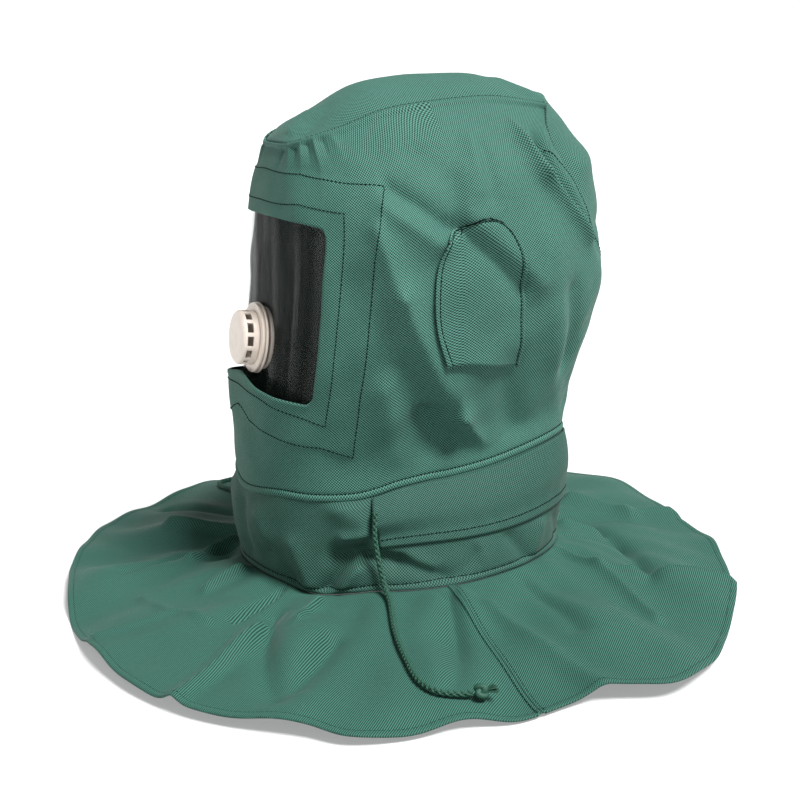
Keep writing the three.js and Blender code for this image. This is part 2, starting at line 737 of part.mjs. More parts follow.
const flangeRadius = FLANGE_DIAMETER / 2;
const rimTop = LAID_GAP + FLANGE_RIM;
const grooveTop = rimTop + FLANGE_GROOVE;
const flangeTop = grooveTop + FLANGE_DISC;
const clampTop = -sheetSag - SHEET_THICKNESS - SEAM_GAP;
const hubEnd = clampTop - CLAMP_THICKNESS;
const flangeProfile = [
  [VALVE_BORE / 2, hubEnd],
  [hubRadius, hubEnd],
  [hubRadius, LAID_GAP],
  [flangeRadius, LAID_GAP],
  [flangeRadius, rimTop],
  [flangeRadius - FLANGE_GROOVE_DEPTH, rimTop],
  [flangeRadius - FLANGE_GROOVE_DEPTH, grooveTop],
  [flangeRadius - FLANGE_DISC_STEP, grooveTop],
  [flangeRadius - FLANGE_DISC_STEP, flangeTop],
  [VALVE_BORE / 2, flangeTop],
  [VALVE_BORE / 2, hubEnd],
];
addPiece("valve_flange", turned(flangeProfile, 28), cream, valve);

const clampProfile = [
  [hubRadius + SEAM_GAP, hubEnd],
  [CLAMP_DIAMETER / 2, hubEnd],
  [CLAMP_DIAMETER / 2, clampTop],
  [hubRadius + SEAM_GAP, clampTop],
  [hubRadius + SEAM_GAP, hubEnd],
];
addPiece("valve_ring", turned(clampProfile, 28), cream, valve);

// Valve cap: a closed cup with slots round its side
const capFoot = flangeTop + SEAM_GAP;
const capTop = capFoot + CAP_LENGTH;
const capRadius = CAP_DIAMETER / 2;
const capProfile = [
  [0, capTop],
  [0, capTop - CAP_WALL],
  [CAP_FACE_DIAMETER / 2 - CAP_WALL / 2, capTop - CAP_WALL],
  [capRadius - CAP_WALL, capTop - CAP_SHOULDER],
  [capRadius - CAP_WALL, capFoot],
  [capRadius, capFoot],
  [capRadius, capTop - CAP_SHOULDER],
  [CAP_FACE_DIAMETER / 2, capTop],
  [0, capTop],
];
const slotWidth = (Math.PI * CAP_DIAMETER) / CAP_SLOTS - CAP_BAR;
let capSolid = solidOf(turned(capProfile, 24));
for (let k = 0; k < CAP_SLOTS; k += 1) {
  const slot = new THREE.BoxGeometry(3 * CAP_WALL, slotWidth, CAP_SLOT_LENGTH);
  slot.translate(capRadius - CAP_WALL / 2, 0, capTop - CAP_SHOULDER - CAP_SLOT_INSET - CAP_SLOT_LENGTH / 2);
  slot.rotateZ((2 * Math.PI * k) / CAP_SLOTS);
  capSolid = capSolid.subtract(solidOf(slot));
}
addPiece("valve_cap", geometryOf(capSolid), cream, valve);

// Ear flaps, arch-shaped patches on the panel with a gaping lower edge
function earFlap(name, side) {
  const columns = 8;
  const rows = 8;
  const centre = side * FLAP_CENTRE_RUN;
  const middle = FLAP_BOTTOM + 0.15;
  const step = 0.01;
  const alongRun = panelPoint(centre + step, middle).distanceTo(panelPoint(centre - step, middle));
  const alongHeight = panelPoint(centre, middle + step).distanceTo(panelPoint(centre, middle - step));
  const runScale = alongRun / (2 * step);
  const heightScale = alongHeight / (2 * step);
  const sheet = makeSheet(columns, rows, (i, j) => {
    const across = (2 * i) / columns - 1;
    const up = j / rows;
    const past = clamp((up - FLAP_SHOULDER) / (1 - FLAP_SHOULDER), 0, 1);
    const narrowing = mix(FLAP_TOP_SHARE, 1, Math.sqrt(1 - past ** 2));
    const run = centre + (across * narrowing * FLAP_WIDTH) / 2 / runScale;
    const height = FLAP_BOTTOM - FLAP_TILT * across * narrowing + (up * FLAP_HEIGHT) / heightScale;
    const gape = FLAP_GAPE * (1 - across * across) * clamp(1 - up / 0.3, 0, 1) ** 2;
    const out = CLOTH + FLAP_GAP + gape;
    return panelPoint(run, height).addScaledVector(normalOf(panelPoint, run, height, 0.01), out);
  });
  mitreDirections([sheet]);
  addPiece(name, shellOf(sheet, CLOTH), cloth);
}
earFlap("ear_flap_left", 1);
earFlap("ear_flap_right", -1);

// Draw cord ends and their knots
function cordEnd(side, route) {
  const path = new THREE.CatmullRomCurve3(route.map(([x, y, z]) => new THREE.Vector3(x, y, z)));
  const section = new THREE.Shape();
  section.absarc(0, 0, CORD_DIAMETER / 2, 0, 2 * Math.PI);
  const options = { steps: CORD_STEPS, curveSegments: 4, extrudePath: path, bevelEnabled: false };
  const tube = new THREE.ExtrudeGeometry(section, options);
  addPiece("draw_cord_" + side, geometryOf(solidOf(tube)), cordFinish);
  const knotRadius = KNOT_DIAMETER / 2;
  const knotProfile = [
    [0, 0],
    [CORD_DIAMETER / 2, 0],
    [knotRadius, KNOT_LENGTH * 0.25],
    [knotRadius, KNOT_LENGTH * 0.6],
    [knotRadius * 0.6, KNOT_LENGTH * 0.75],
    [knotRadius * 0.7, KNOT_LENGTH],
    [0, KNOT_LENGTH],
  ];
  const direction = path.getTangent(1);
  const knot = turned(knotProfile, 10);
  const turn = new THREE.Quaternion().setFromUnitVectors(new THREE.Vector3(0, 0, 1), direction);
  knot.applyQuaternion(turn);
  const place = path.getPoint(1).addScaledVector(direction, SEAM_GAP);
  knot.translate(place.x, place.y, place.z);
  addPiece("cord_knot_" + side, knot, cordFinish);
}
cordEnd("left", CORD_LEFT);
cordEnd("right", CORD_RIGHT);

export default hood;
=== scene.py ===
import math

import bmesh
import bpy
import numpy as np
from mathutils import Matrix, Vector


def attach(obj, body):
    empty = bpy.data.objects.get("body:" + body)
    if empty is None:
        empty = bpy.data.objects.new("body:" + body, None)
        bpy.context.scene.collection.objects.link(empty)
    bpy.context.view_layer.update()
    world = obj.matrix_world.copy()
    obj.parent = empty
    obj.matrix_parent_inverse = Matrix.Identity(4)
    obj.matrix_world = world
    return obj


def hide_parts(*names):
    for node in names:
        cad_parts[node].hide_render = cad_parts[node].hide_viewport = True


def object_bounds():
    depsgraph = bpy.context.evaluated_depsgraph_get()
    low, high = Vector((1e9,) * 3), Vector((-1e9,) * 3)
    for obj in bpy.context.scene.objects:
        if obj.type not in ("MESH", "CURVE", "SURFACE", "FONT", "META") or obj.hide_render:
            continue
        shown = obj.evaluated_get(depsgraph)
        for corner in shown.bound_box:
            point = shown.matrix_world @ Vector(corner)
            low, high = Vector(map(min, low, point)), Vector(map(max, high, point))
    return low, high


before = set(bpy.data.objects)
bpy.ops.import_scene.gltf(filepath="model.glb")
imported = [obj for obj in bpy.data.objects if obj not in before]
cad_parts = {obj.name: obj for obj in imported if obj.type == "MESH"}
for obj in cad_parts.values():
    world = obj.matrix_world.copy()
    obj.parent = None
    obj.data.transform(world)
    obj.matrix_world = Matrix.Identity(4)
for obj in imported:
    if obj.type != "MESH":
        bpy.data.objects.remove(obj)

cad_box = [list(corner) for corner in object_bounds()]


# View
# The hood is seen from its wearer's left and a little from in front, slightly from above.
# Lengths below are in millimetres over the table level; the origin is the head seat under the crown.
HEAD_SEAT = 384.44
CAMERA_TURN = 67.0
CAMERA_PITCH = 13.6
CAMERA_DISTANCE = 1080.0
CAMERA_HEIGHT = 403.0
LENS = 64.8


def placed(points):
    return (np.asarray(points, float) - (0.0, 0.0, HEAD_SEAT)) * 0.001


turn = math.radians(CAMERA_TURN)
camera = bpy.data.objects.new("camera", bpy.data.cameras.new("camera"))
camera_place = (CAMERA_DISTANCE * math.sin(turn), -CAMERA_DISTANCE * math.cos(turn), CAMERA_HEIGHT)
camera.location = Vector(placed(camera_place))
camera.rotation_euler = (math.radians(90.0 - CAMERA_PITCH), 0.0, turn)
camera.data.lens = LENS
camera.data.sensor_width = 36.0
bpy.context.scene.collection.objects.link(camera)
bpy.context.scene.camera = camera


# Floor and light
# A round pale studio floor whose rim curves up, lit evenly by one broad high light from behind the
# wearer's left shoulder and by a weak white surrounding.
FLOOR_RADIUS = 2.6
FLOOR_WALL = 0.8
FLOOR_FLAT = 0.8
FLOOR_GREY = 0.5
FLOOR_DROP = 0.004
FLOOR_GLOW = 0.32
KEY_FROM = (0.85, 0.5, 1.65)
KEY_STRENGTH = 6.4
KEY_SPREAD = 24.0
WORLD_STRENGTH = 0.25


def srgb(red, green, blue):
    shares = [channel / 255.0 for channel in (red, green, blue)]
    return tuple(s / 12.92 if s < 0.04045 else ((s + 0.055) / 1.055) ** 2.4 for s in shares) + (1.0,)


def mesh_object(name, vertices, faces, materials):
    mesh = bpy.data.meshes.new(name)
    mesh.from_pydata([tuple(v) for v in vertices], [], [tuple(int(k) for k in f) for f in faces])
    mesh.validate()
    for material in materials:
        mesh.materials.append(material)
    mesh.polygons.foreach_set("use_smooth", [True] * len(mesh.polygons))
    made = bpy.data.objects.new(name, mesh)
    bpy.context.scene.collection.objects.link(made)
    return made


def lathe(name, profile, sides, materials):
    """Surface of a profile of (radius, height) turned round the Z axis, its poles closed."""
    angles = np.linspace(0.0, 2.0 * math.pi, sides, endpoint=False)
    vertices = []
    for radius, height in profile:
        for angle in angles:
            vertices.append((radius * math.cos(angle), radius * math.sin(angle), height))
    faces = []
    for k in range(len(profile) - 1):
        for i in range(sides):
            j = (i + 1) % sides
            faces.append((k * sides + i, k * sides + j, (k + 1) * sides + j, (k + 1) * sides + i))
    made = mesh_object(name, vertices, faces, materials)
    work = bmesh.new()
    work.from_mesh(made.data)
    bmesh.ops.remove_doubles(work, verts=work.verts, dist=1e-6)
    bmesh.ops.recalc_face_normals(work, faces=work.faces)
    work.to_mesh(made.data)
    work.free()
    made.data.polygons.foreach_set("use_smooth", [True] * len(made.data.polygons))
    return made


def set_values(node, **values):
    """Sets a node's sockets, whose names are written here with lines for spaces."""
    for name, value in values.items():
        node.inputs[name.replace("_", " ")].default_value = value


def new_material(name):
    """A material and its principled shader."""
    material = bpy.data.materials.new(name)
    material.use_nodes = True
    return material, material.node_tree.nodes["Principled BSDF"]


floor_white, floor_shader = new_material("floor_white")
set_values(
    floor_shader, Base_Color=(FLOOR_GREY, FLOOR_GREY, FLOOR_GREY, 1.0), Roughness=0.9,
    Emission_Color=(1.0, 1.0, 1.0, 1.0), Emission_Strength=FLOOR_GLOW,
)
floor_level = cad_box[0][2] - FLOOR_DROP
floor_profile = [(0.0, floor_level), (FLOOR_RADIUS * FLOOR_FLAT, floor_level)]
for step in range(1, 13):
    bend = math.radians(7.5 * step)
    out = FLOOR_RADIUS * (FLOOR_FLAT + (1.0 - FLOOR_FLAT) * math.sin(bend))
    floor_profile.append((out, floor_level + FLOOR_WALL * (1.0 - math.cos(bend))))
floor = lathe("floor", floor_profile, 96, [floor_white])
floor.data.flip_normals()


key_data = bpy.data.lights.new("key_light", "SUN")
key_data.energy = KEY_STRENGTH
key_data.angle = math.radians(KEY_SPREAD)
key_light = bpy.data.objects.new("key_light", key_data)
key_light.rotation_euler = Vector([-part for part in KEY_FROM]).to_track_quat("-Z", "Y").to_euler()
bpy.context.scene.collection.objects.link(key_light)
world = bpy.data.worlds.new("studio")
world.use_nodes = True
set_values(world.node_tree.nodes["Background"], Color=(1.0, 1.0, 1.0, 1.0), Strength=WORLD_STRENGTH)
bpy.context.scene.world = world
bpy.context.scene.view_settings.view_transform = "Standard"


# Draw cord
# One braided cord runs in the casing; its two ends come out at the temples, fall down the band and
# lie on the cape. Each is braided of six dyed polyester strands and ends in a knot with a short tuft.
CORD_POINTS = 260
STRAND_RADIUS = 0.78
BRAID_RADIUS = 1.15
BRAID_OVER = 0.38
BRAID_PITCH = 13.0
KNOT_SCALE = 1.12
KNOT_STRAND = 2.05
KNOT_CENTRE = 5.2
KNOT_STRETCH = 1.6
TUFT_FIBRES = 26
TUFT_START = 7.5
FIBRE_RADIUS = 0.34
CORD_RINGS = 27
CORD_LEFT = (
    (92.5, -58.5, 86), (95.5, -60, 70), (100.5, -59, 52), (105.8, -57.5, 38),
    (112, -57.5, 32.4), (121, -59, 29.8), (156, -70, 23.7), (192.5, -78, 20),
    (226, -82, 17.2), (241, -77, 16), (249, -63, 15.2), (250.6, -57.5, 15.8),
)
CORD_RIGHT_HEIGHTS = (86, 70, 52, 38, 32.4, 29.8, 26.1, 23.4, 19.4, 17.8, 17.2, 18.6)
CORD_RIGHT = [(-place[0], place[1], height) for place, height in zip(CORD_LEFT, CORD_RIGHT_HEIGHTS)]


def smooth_route(points, count):
    """Evenly spaced points on the centripetal curve through the route."""
    knots = np.asarray(points, float)
    ends = np.vstack([2 * knots[0] - knots[1], knots, 2 * knots[-1] - knots[-2]])
    shares = np.linspace(0.0, 1.0, 40, endpoint=False)[:, None]
    pieces = []
    for k in range(1, len(ends) - 2):
        a, b, c, d = ends[k - 1:k + 3]
        first, middle, last = (math.sqrt(np.linalg.norm(q - p)) for p, q in ((a, b), (b, c), (c, d)))
        leave = ((b - a) / first - (c - a) / (first + middle) + (c - b) / middle) * middle
        arrive = ((c - b) / middle - (d - b) / (middle + last) + (d - c) / last) * middle
        cubic = 2 * b - 2 * c + leave + arrive
        square = -3 * b + 3 * c - 2 * leave - arrive
        pieces.append(b + leave * shares + square * shares ** 2 + cubic * shares ** 3)
    dense = np.vstack(pieces + [knots[-1:]])
    travelled = np.concatenate([[0.0], np.cumsum(np.linalg.norm(np.diff(dense, axis=0), axis=1))])
    marks = np.linspace(0.0, travelled[-1], count)
    return np.stack([np.interp(marks, travelled, dense[:, axis]) for axis in range(3)], 1), travelled[-1]


def carried_frames(path):
    """Tangent and two side directions at each point, carried along without twist."""
    tangents = np.gradient(path, axis=0)
    tangents /= np.linalg.norm(tangents, axis=1)[:, None]
    side = np.cross(tangents[0], (0.0, 0.0, 1.0) if abs(tangents[0][2]) < 0.9 else (1.0, 0.0, 0.0))
    sides = []
    for tangent in tangents:
        side = side - tangent * np.dot(side, tangent)
        side /= np.linalg.norm(side)
        sides.append(side)
    sides = np.array(sides)
    return tangents, sides, np.cross(tangents, sides)


def tube_parts(path, radii, sides, closed=False):
    """Vertices and faces of a round tube along a path, with closed ends where it is open."""
    count = len(path)
    tangents, across, up = carried_frames(path)
    angles = np.linspace(0.0, 2.0 * math.pi, sides, endpoint=False)
    ring = np.cos(angles)[None, :, None] * across[:, None] + np.sin(angles)[None, :, None] * up[:, None]
    vertices = (path[:, None] + ring * np.broadcast_to(radii, count)[:, None, None]).reshape(-1, 3)
    faces = []
    for k in range(count if closed else count - 1):
        low, high = k * sides, ((k + 1) % count) * sides
        for i in range(sides):
            j = (i + 1) % sides
            faces.append((low + i, low + j, high + j, high + i))
    if not closed:
        faces.append(tuple(range(sides))[::-1])
        faces.append(tuple((count - 1) * sides + i for i in range(sides)))
    return vertices, faces


def joined(parts):
    vertices, faces, offset = [], [], 0
    for part_vertices, part_faces in parts:
        vertices.append(part_vertices)
        faces += [tuple(offset + k for k in face) for face in part_faces]
        offset += len(part_vertices)
    return np.vstack(vertices), faces


def add_node(tree, kind, **settings):
    made = tree.nodes.new(kind)
    for key, value in settings.items():
        setattr(made, key, value)
    return made


def math_node(tree, operation, *values):
    made = add_node(tree, "ShaderNodeMath", operation=operation)
    for socket, value in zip(made.inputs, values):
        if isinstance(value, (int, float)):
            socket.default_value = value
        else:
            tree.links.new(value, socket)
    return made.outputs[0]


def noise_value(tree, place, scale, detail=2.0):
    made = add_node(tree, "ShaderNodeTexNoise")
    set_values(made, Scale=scale, Detail=detail)
    tree.links.new(place, made.inputs["Vector"])
    return made.outputs["Fac"]


def mixed_colour(tree, share, first, second):
    made = add_node(tree, "ShaderNodeMix", data_type="RGBA")
    tree.links.new(share, made.inputs[0])
    for socket, value in ((made.inputs[6], first), (made.inputs[7], second)):
        if isinstance(value, tuple):
            socket.default_value = value
        else:
            tree.links.new(value, socket)
    return made.outputs[2]


def plain_finish(name, dark, light, roughness, grain, relief):
    """Finish of one colour range with a grain that mottles it and stands in relief."""
    material, shader = new_material(name)
    tree = material.node_tree
    place = add_node(tree, "ShaderNodeTexCoord").outputs["Object"]
    mottle = noise_value(tree, place, grain, 3.0)
    tree.links.new(mixed_colour(tree, mottle, dark, light), shader.inputs["Base Color"])
    bump = add_node(tree, "ShaderNodeBump")
    set_values(bump, Distance=relief)
    tree.links.new(mottle, bump.inputs["Height"])
    tree.links.new(bump.outputs["Normal"], shader.inputs["Normal"])
    set_values(shader, Roughness=roughness)
    return material


cord_finish = plain_finish("cord_green", srgb(6, 34, 26), srgb(26, 92, 70), 0.6, 1400.0, 0.0004)


def draw_cord(side, route):
    path, length = smooth_route(route, CORD_POINTS)
    tangents, across, up = carried_frames(path)
    travelled = np.linspace(0.0, length, len(path))
    turned = 2.0 * math.pi * travelled / BRAID_PITCH
    parts = []
    for strand in range(6):
        hand = 1 if strand < 3 else -1
        angle = hand * turned + 2.0 * math.pi * (strand % 3) / 3.0
        radius = BRAID_RADIUS + hand * BRAID_OVER * np.cos(3.0 * turned)
        centre = path + (np.cos(angle) * radius)[:, None] * across + (np.sin(angle) * radius)[:, None] * up
        parts.append(tube_parts(placed(centre), STRAND_RADIUS * 0.001, 6))
    braid = mesh_object("braided_cord_" + side, *joined(parts), [cord_finish])
    knot_place = path[-1] + tangents[-1] * 0.3
    along, wide, high = tangents[-1], across[-1], up[-1]
    loop = np.linspace(0.0, 2.0 * math.pi, 64, endpoint=False)
    trefoil = np.stack([
        np.sin(loop) + 2 * np.sin(2 * loop), np.cos(loop) - 2 * np.cos(2 * loop), -1.35 * np.sin(3 * loop),
    ])
    x, y, z = trefoil[..., None] * KNOT_SCALE
    centre = knot_place + along * KNOT_CENTRE + x * wide + y * high + z * along * KNOT_STRETCH
    knot_parts = [tube_parts(placed(centre), KNOT_STRAND * 0.001, 10, closed=True)]
    chance = np.random.default_rng(5 if side == "left" else 8)
    for fibre in range(TUFT_FIBRES):
        angle, spread = chance.uniform(0, 2 * math.pi), chance.uniform(0.2, 1.0)
        lean = math.cos(angle) * wide + math.sin(angle) * high
        bend = chance.normal(0.0, 0.25, 3)
        steps = np.linspace(0.0, 1.0, 7)[:, None]
        reach = chance.uniform(7.0, 9.0)
        fibre_path = knot_place + along * (TUFT_START + reach * steps)
        fibre_path = fibre_path + lean * spread * (1.2 + 3.2 * steps ** 1.5) + bend * steps ** 2 * 1.6
        knot_parts.append(tube_parts(placed(fibre_path), FIBRE_RADIUS * 0.001, 5))
    knot = mesh_object("knot_and_tuft_" + side, *joined(knot_parts), [cord_finish])
    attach(braid, "root")
    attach(knot, "root")
    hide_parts("draw_cord_" + side)
    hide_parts("cord_knot_" + side)
    rings, length = smooth_route(route, CORD_RINGS)
    return path


left_cord_path = draw_cord("left", CORD_LEFT)
right_cord_path = draw_cord("right", CORD_RIGHT)


# Hood panel
# One panel of coated polyester cloth in a coarse basket weave wraps the head from one rear seam round
# the face to the other. It is cut out for the window, which a wide stitched facing frames.
CLOTH = 1.4
HEAD_HALF_WIDTH = 108.0
HEAD_FRONT = 130.0
HEAD_REAR = 150.0
STRIP_HALF_WIDTH = 50.0
NECK_SEAM = 95.0
NECK_SEAM_REAR_RISE = 26.0
CROWN_SEAM_HEIGHT = 370.0
RUN_LENGTH = 388.0
HEIGHT_LENGTH = 275.0
WINDOW_RUN = 0.24
WINDOW_CORNER = 0.017
WINDOW_CORNER_HEIGHT = 0.024
PANEL_SECTIONS = {
    "height": (0.0, 0.1, 0.23, 0.36, 0.5, 0.6, 0.7, 0.82, 0.92, 1.0),
    "front": (0.965, 0.985, 0.975, 0.945, 0.918, 0.895, 0.87, 0.842, 0.8, 0.745),
    "side": (0.8, 0.79, 0.89, 0.97, 1.0, 1.0, 0.985, 0.885, 0.69, 0.463),
    "rear": (0.745, 0.767, 0.798, 0.875, 0.93, 0.915, 0.84, 0.715, 0.63, 0.62),
    "square": (2.7, 2.7, 2.6, 2.6, 2.6, 2.6, 2.6, 2.6, 2.8, 4.0),
}
CROWN_SEAM = {
    "along": (-0.76, -0.66, -0.48, -0.27, -0.03, 0.31, 0.5, 0.62),
    "height": (0.915, 0.931, 0.951, 0.978, 0.992, 1.002, 0.995, 0.989),
}
WINDOW_EDGE = {
    "run": (0.0, 0.08, 0.165, 0.225, 0.3),
    "bottom": (0.33, 0.303, 0.285, 0.272, 0.262),
    "top": (0.8, 0.796, 0.781, 0.765, 0.75),
}
# side is 1 on the wearer's left, -1 on the right and 0 on both; widths and rises are in millimetres
PANEL_FOLDS = (
    # side, run0, height0, run1, height1, width, rise, sharp
    (0, 0.0, 0.3, 0.12, 0.275, 20, 2.0, 0),
    (1, 0.395, 0.845, 0.495, 0.70, 6, -3.4, 0.5),
    (1, 0.38, 0.79, 0.475, 0.665, 8, 3.4, 0.75),
    (1, 0.49, 0.70, 0.60, 0.51, 8, -2.6, 0.3),
    (1, 0.51, 0.72, 0.63, 0.52, 10, 2.6, 0.3),
    (1, 0.36, 0.74, 0.41, 0.55, 12, 5.0, 0.9),
    (1, 0.41, 0.55, 0.514, 0.18, 12, 6.0, 0.9),
    (1, 0.514, 0.18, 0.573, 0.06, 9, 4.4, 0.9),
    (1, 0.43, 0.36, 0.475, 0.20, 12, -3.5, 0.2),
    (1, 0.475, 0.20, 0.502, 0.06, 8, -6.0, 0.4),
    (1, 0.395, 0.30, 0.44, 0.05, 12, 3.0, 0.3),
    (1, 0.30, 0.60, 0.318, 0.20, 16, -1.6, 0),
    (1, 0.60, 0.30, 0.64, 0.06, 14, -2.5, 0),
    (1, 0.555, 0.90, 0.54, 0.78, 8, 2.2, 0.5),
    (1, 0.575, 0.89, 0.56, 0.76, 7, -2.0, 0.3),
    (1, 0.497, 0.82, 0.497, 0.73, 6, -2.6, 0.5),
    (1, 0.46, 0.90, 0.48, 0.86, 9, -1.6, 0),
    (1, 0.70, 0.93, 0.714, 0.80, 10, 4.4, 0.95),
    (1, 0.714, 0.80, 0.80, 0.63, 10, 4.4, 0.95),
    (1, 0.80, 0.86, 0.89, 0.64, 15, -8.0, 0.2),
    (1, 0.729, 0.47, 0.79, 0.27, 12, -4.0, 0.2),
    (1, 0.66, 0.60, 0.74, 0.30, 18, 3.0, 0),
    (-1, 0.30, 0.72, 0.44, 0.60, 16, 3.0, 0.4),
    (-1, 0.30, 0.60, 0.45, 0.12, 16, 4.0, 0.4),
    (-1, 0.42, 0.08, 0.60, 0.16, 16, -5.0, 0.2),
    (-1, 0.52, 0.86, 0.60, 0.74, 10, 2.5, 0.5),
    (-1, 0.70, 0.78, 0.83, 0.55, 14, 5.0, 0.5),
    (-1, 0.84, 0.90, 0.90, 0.50, 18, -5.0, 0.1),
)
# Gathers of the panel where it is eased into the crown seam over the forehead
FOREHEAD_GATHERS = (
    # side, run, length, width, rise
    (1, 0.10, 0.05, 3.5, 1.3), (1, 0.135, 0.05, 3.5, -1.3), (1, 0.17, 0.06, 4, 1.6),
    (1, 0.205, 0.05, 3.5, -1.4),
    (1, 0.24, 0.07, 4, 1.7), (1, 0.275, 0.05, 3.5, -1.3), (1, 0.315, 0.05, 4, 1.2),
    (1, 0.05, 0.05, 5, -1.2),
    (-1, 0.08, 0.06, 5, 1.5), (-1, 0.15, 0.07, 5, -1.6), (-1, 0.24, 0.07, 5, 1.7),
)
WAVES = (
    # along run, along height, phase, rise
    (5.1, 1.7, 0.4, 0.7), (2.3, -4.2, 1.9, 0.6), (8.7, 3.9, 4.2, 0.35), (-6.2, 7.1, 2.6, 0.3),
    (13.0, -5.5, 5.5, 0.16),
)
# How far the seams have settled, in millimetres, by the angle from the front towards the wearer's left
SETTLING = {
    "degrees": (-180, -150, -110, -66, -45, -20, -2, 22, 36, 50, 58, 66, 80, 92, 112, 152, 180),
    "neck": (2, 6, 2, 2, -2, 0, -8, -1.5, -3, -3.4, -1.2, 1.6, 3, 2.6, 3.6, 9, 2),
    "cape": (0, 2, 1, 0, -3, -2, 0, -2, -6, -2.5, 0, 0, 1, 2, 4, 4, 0),
}
NECK_REACH_UP = 26.0
NECK_REACH_DOWN = 42.0
CAPE_SEAM_HEIGHT = 30.0
CAPE_SEAM_REACH = 20.0
CAPE_SEAM_FAR = 175.0
CAPE_SEAM_FADE = 50.0
FACING_LIFT = 0.8
FACING_EASE = 4.0
HEM_ROLL = 1.2
HEM_ROLL_WIDTH = 3.0
HEM_DROP = 1.2
FOLD_DEPTH = 1.5
WAVE_DEPTH = 0.8
CROWN_EDGE = 1.8
CROWN_EDGE_WIDTH = 3.4
WINDOW_LIP = 0.9
WINDOW_LIP_WIDTH = 3.0
PANEL_COLUMNS = 312
CLOTH_DARK = srgb(8, 33, 27)
CLOTH_LIGHT = srgb(82, 132, 118)
WEAVE_PITCH = 0.002
WEAVE_DRIFT = 1.4
FLECKS = 0.3
THREAD_HEIGHT = 0.5
CRUMPLE_HEIGHT = 3.0


def reading(table, key, column, x):
    """Smooth curve through one column of a table, against another column."""
    keys, values = np.asarray(table[key], float), np.asarray(table[column], float)
    slope = np.empty_like(values)
    slope[1:-1] = (values[2:] - values[:-2]) / (keys[2:] - keys[:-2])
    slope[0] = (values[1] - values[0]) / (keys[1] - keys[0])
    slope[-1] = (values[-1] - values[-2]) / (keys[-1] - keys[-2])
    x = np.clip(x, keys[0], keys[-1])
    k = np.clip(np.searchsorted(keys, x, side="right") - 1, 0, len(keys) - 2)
    span = keys[k + 1] - keys[k]
    t = (x - keys[k]) / span
    rest = 1 - t
    ends = values[k] * (1 + 2 * t) * rest * rest + values[k + 1] * t * t * (3 - 2 * t)
    return ends + span * t * rest * (slope[k] * rest - slope[k + 1] * t)


def panel_plan(run, height):
    half = reading(PANEL_SECTIONS, "height", "side", height) * HEAD_HALF_WIDTH
    depth_front = reading(PANEL_SECTIONS, "height", "front", height) * HEAD_FRONT
    depth_rear = reading(PANEL_SECTIONS, "height", "rear", height) * HEAD_REAR
    power = 2 / reading(PANEL_SECTIONS, "height", "square", height)
    turned = np.abs(run) * 2
    fore = np.clip(turned, 0, 1) * math.pi / 2
    aft = np.clip(turned - 1, 0, 1) * math.pi / 2
    x_fore = half * np.sin(fore) ** power
    y_fore = -depth_front * np.abs(np.cos(fore)) ** power
    x_aft = STRIP_HALF_WIDTH + (half - STRIP_HALF_WIDTH) * np.maximum(np.cos(aft), 0) ** 0.9
    y_aft = depth_rear * np.sin(aft) ** 0.9
    return np.where(turned <= 1, x_fore, x_aft), np.where(turned <= 1, y_fore, y_aft)


def neck_seam_height(y):
    share = np.clip((y + HEAD_FRONT) / (HEAD_FRONT + HEAD_REAR), 0, 1)
    return NECK_SEAM + NECK_SEAM_REAR_RISE * share ** 1.6


def crown_seam_height(y):
    share = np.where(y < 0, y / HEAD_FRONT, y / HEAD_REAR)
    return CROWN_SEAM_HEIGHT * reading(CROWN_SEAM, "along", "height", share)


def smooth_panel(run, height):
    run, height = np.broadcast_arrays(np.asarray(run, float), np.asarray(height, float))
    x, y = panel_plan(run, height)
    low = neck_seam_height(panel_plan(run, np.zeros_like(height))[1])
    high = crown_seam_height(panel_plan(run, np.ones_like(height))[1])
    return np.stack([np.sign(run) * x, y, low + (high - low) * height], -1)


def settled(points):
    """The finished cloth settled a little lower or higher along the two seams of the neck band."""
    degrees = np.degrees(np.arctan2(points[..., 0], -points[..., 1]))
    seam = neck_seam_height(points[..., 1])
    over = points[..., 2] - seam
    near_neck = np.exp(-(over / np.where(over > 0, NECK_REACH_UP, NECK_REACH_DOWN)) ** 2)
    near_cape = np.exp(-((points[..., 2] - CAPE_SEAM_HEIGHT) / CAPE_SEAM_REACH) ** 2)
    from_axis = np.hypot(points[..., 0], points[..., 1])
    near_cape = near_cape * eased((CAPE_SEAM_FAR - from_axis) / CAPE_SEAM_FADE)
    moved = points.copy()
    moved[..., 2] += reading(SETTLING, "degrees", "neck", degrees) * near_neck
    moved[..., 2] += reading(SETTLING, "degrees", "cape", degrees) * near_cape
    return moved


def outward(surface, a, b, step=0.004):
    """Outward unit normal of a surface by small steps along both of its parameters."""
    along_a = surface(a + step, b) - surface(a - step, b)
    along_b = surface(a, b + step) - surface(a, b - step)
    normal = np.cross(along_a, along_b)
    return normal / np.maximum(np.linalg.norm(normal, axis=-1, keepdims=True), 1e-9)


def bump_profile(away, sharp):
    """1 on a fold's line and falling to 0 beside it, round-topped or creased."""
    creased = np.exp(-1.5 * np.sqrt(away ** 2 + 0.02) + 0.21)
    return (1 - sharp) * np.exp(-away ** 2) + sharp * creased * np.exp(-(away / 2.6) ** 2)


def fold_rise(folds, a, b, length_a, length_b):
    """Rise of a table of straight folds at surface places (a, b), which the lengths turn into millimetres."""
    rise = np.zeros(np.broadcast(a, b).shape)
    for a0, b0, a1, b1, width, height, sharp in folds:
        dx, dy = (a1 - a0) * length_a, (b1 - b0) * length_b
        px, py = (a - a0) * length_a, (b - b0) * length_b
        share = (px * dx + py * dy) / (dx * dx + dy * dy)
        near = np.clip(share, 0, 1)
        away = np.hypot(px - dx * near, py - dy * near) / width
        rise += height * bump_profile(away, sharp)
    return rise


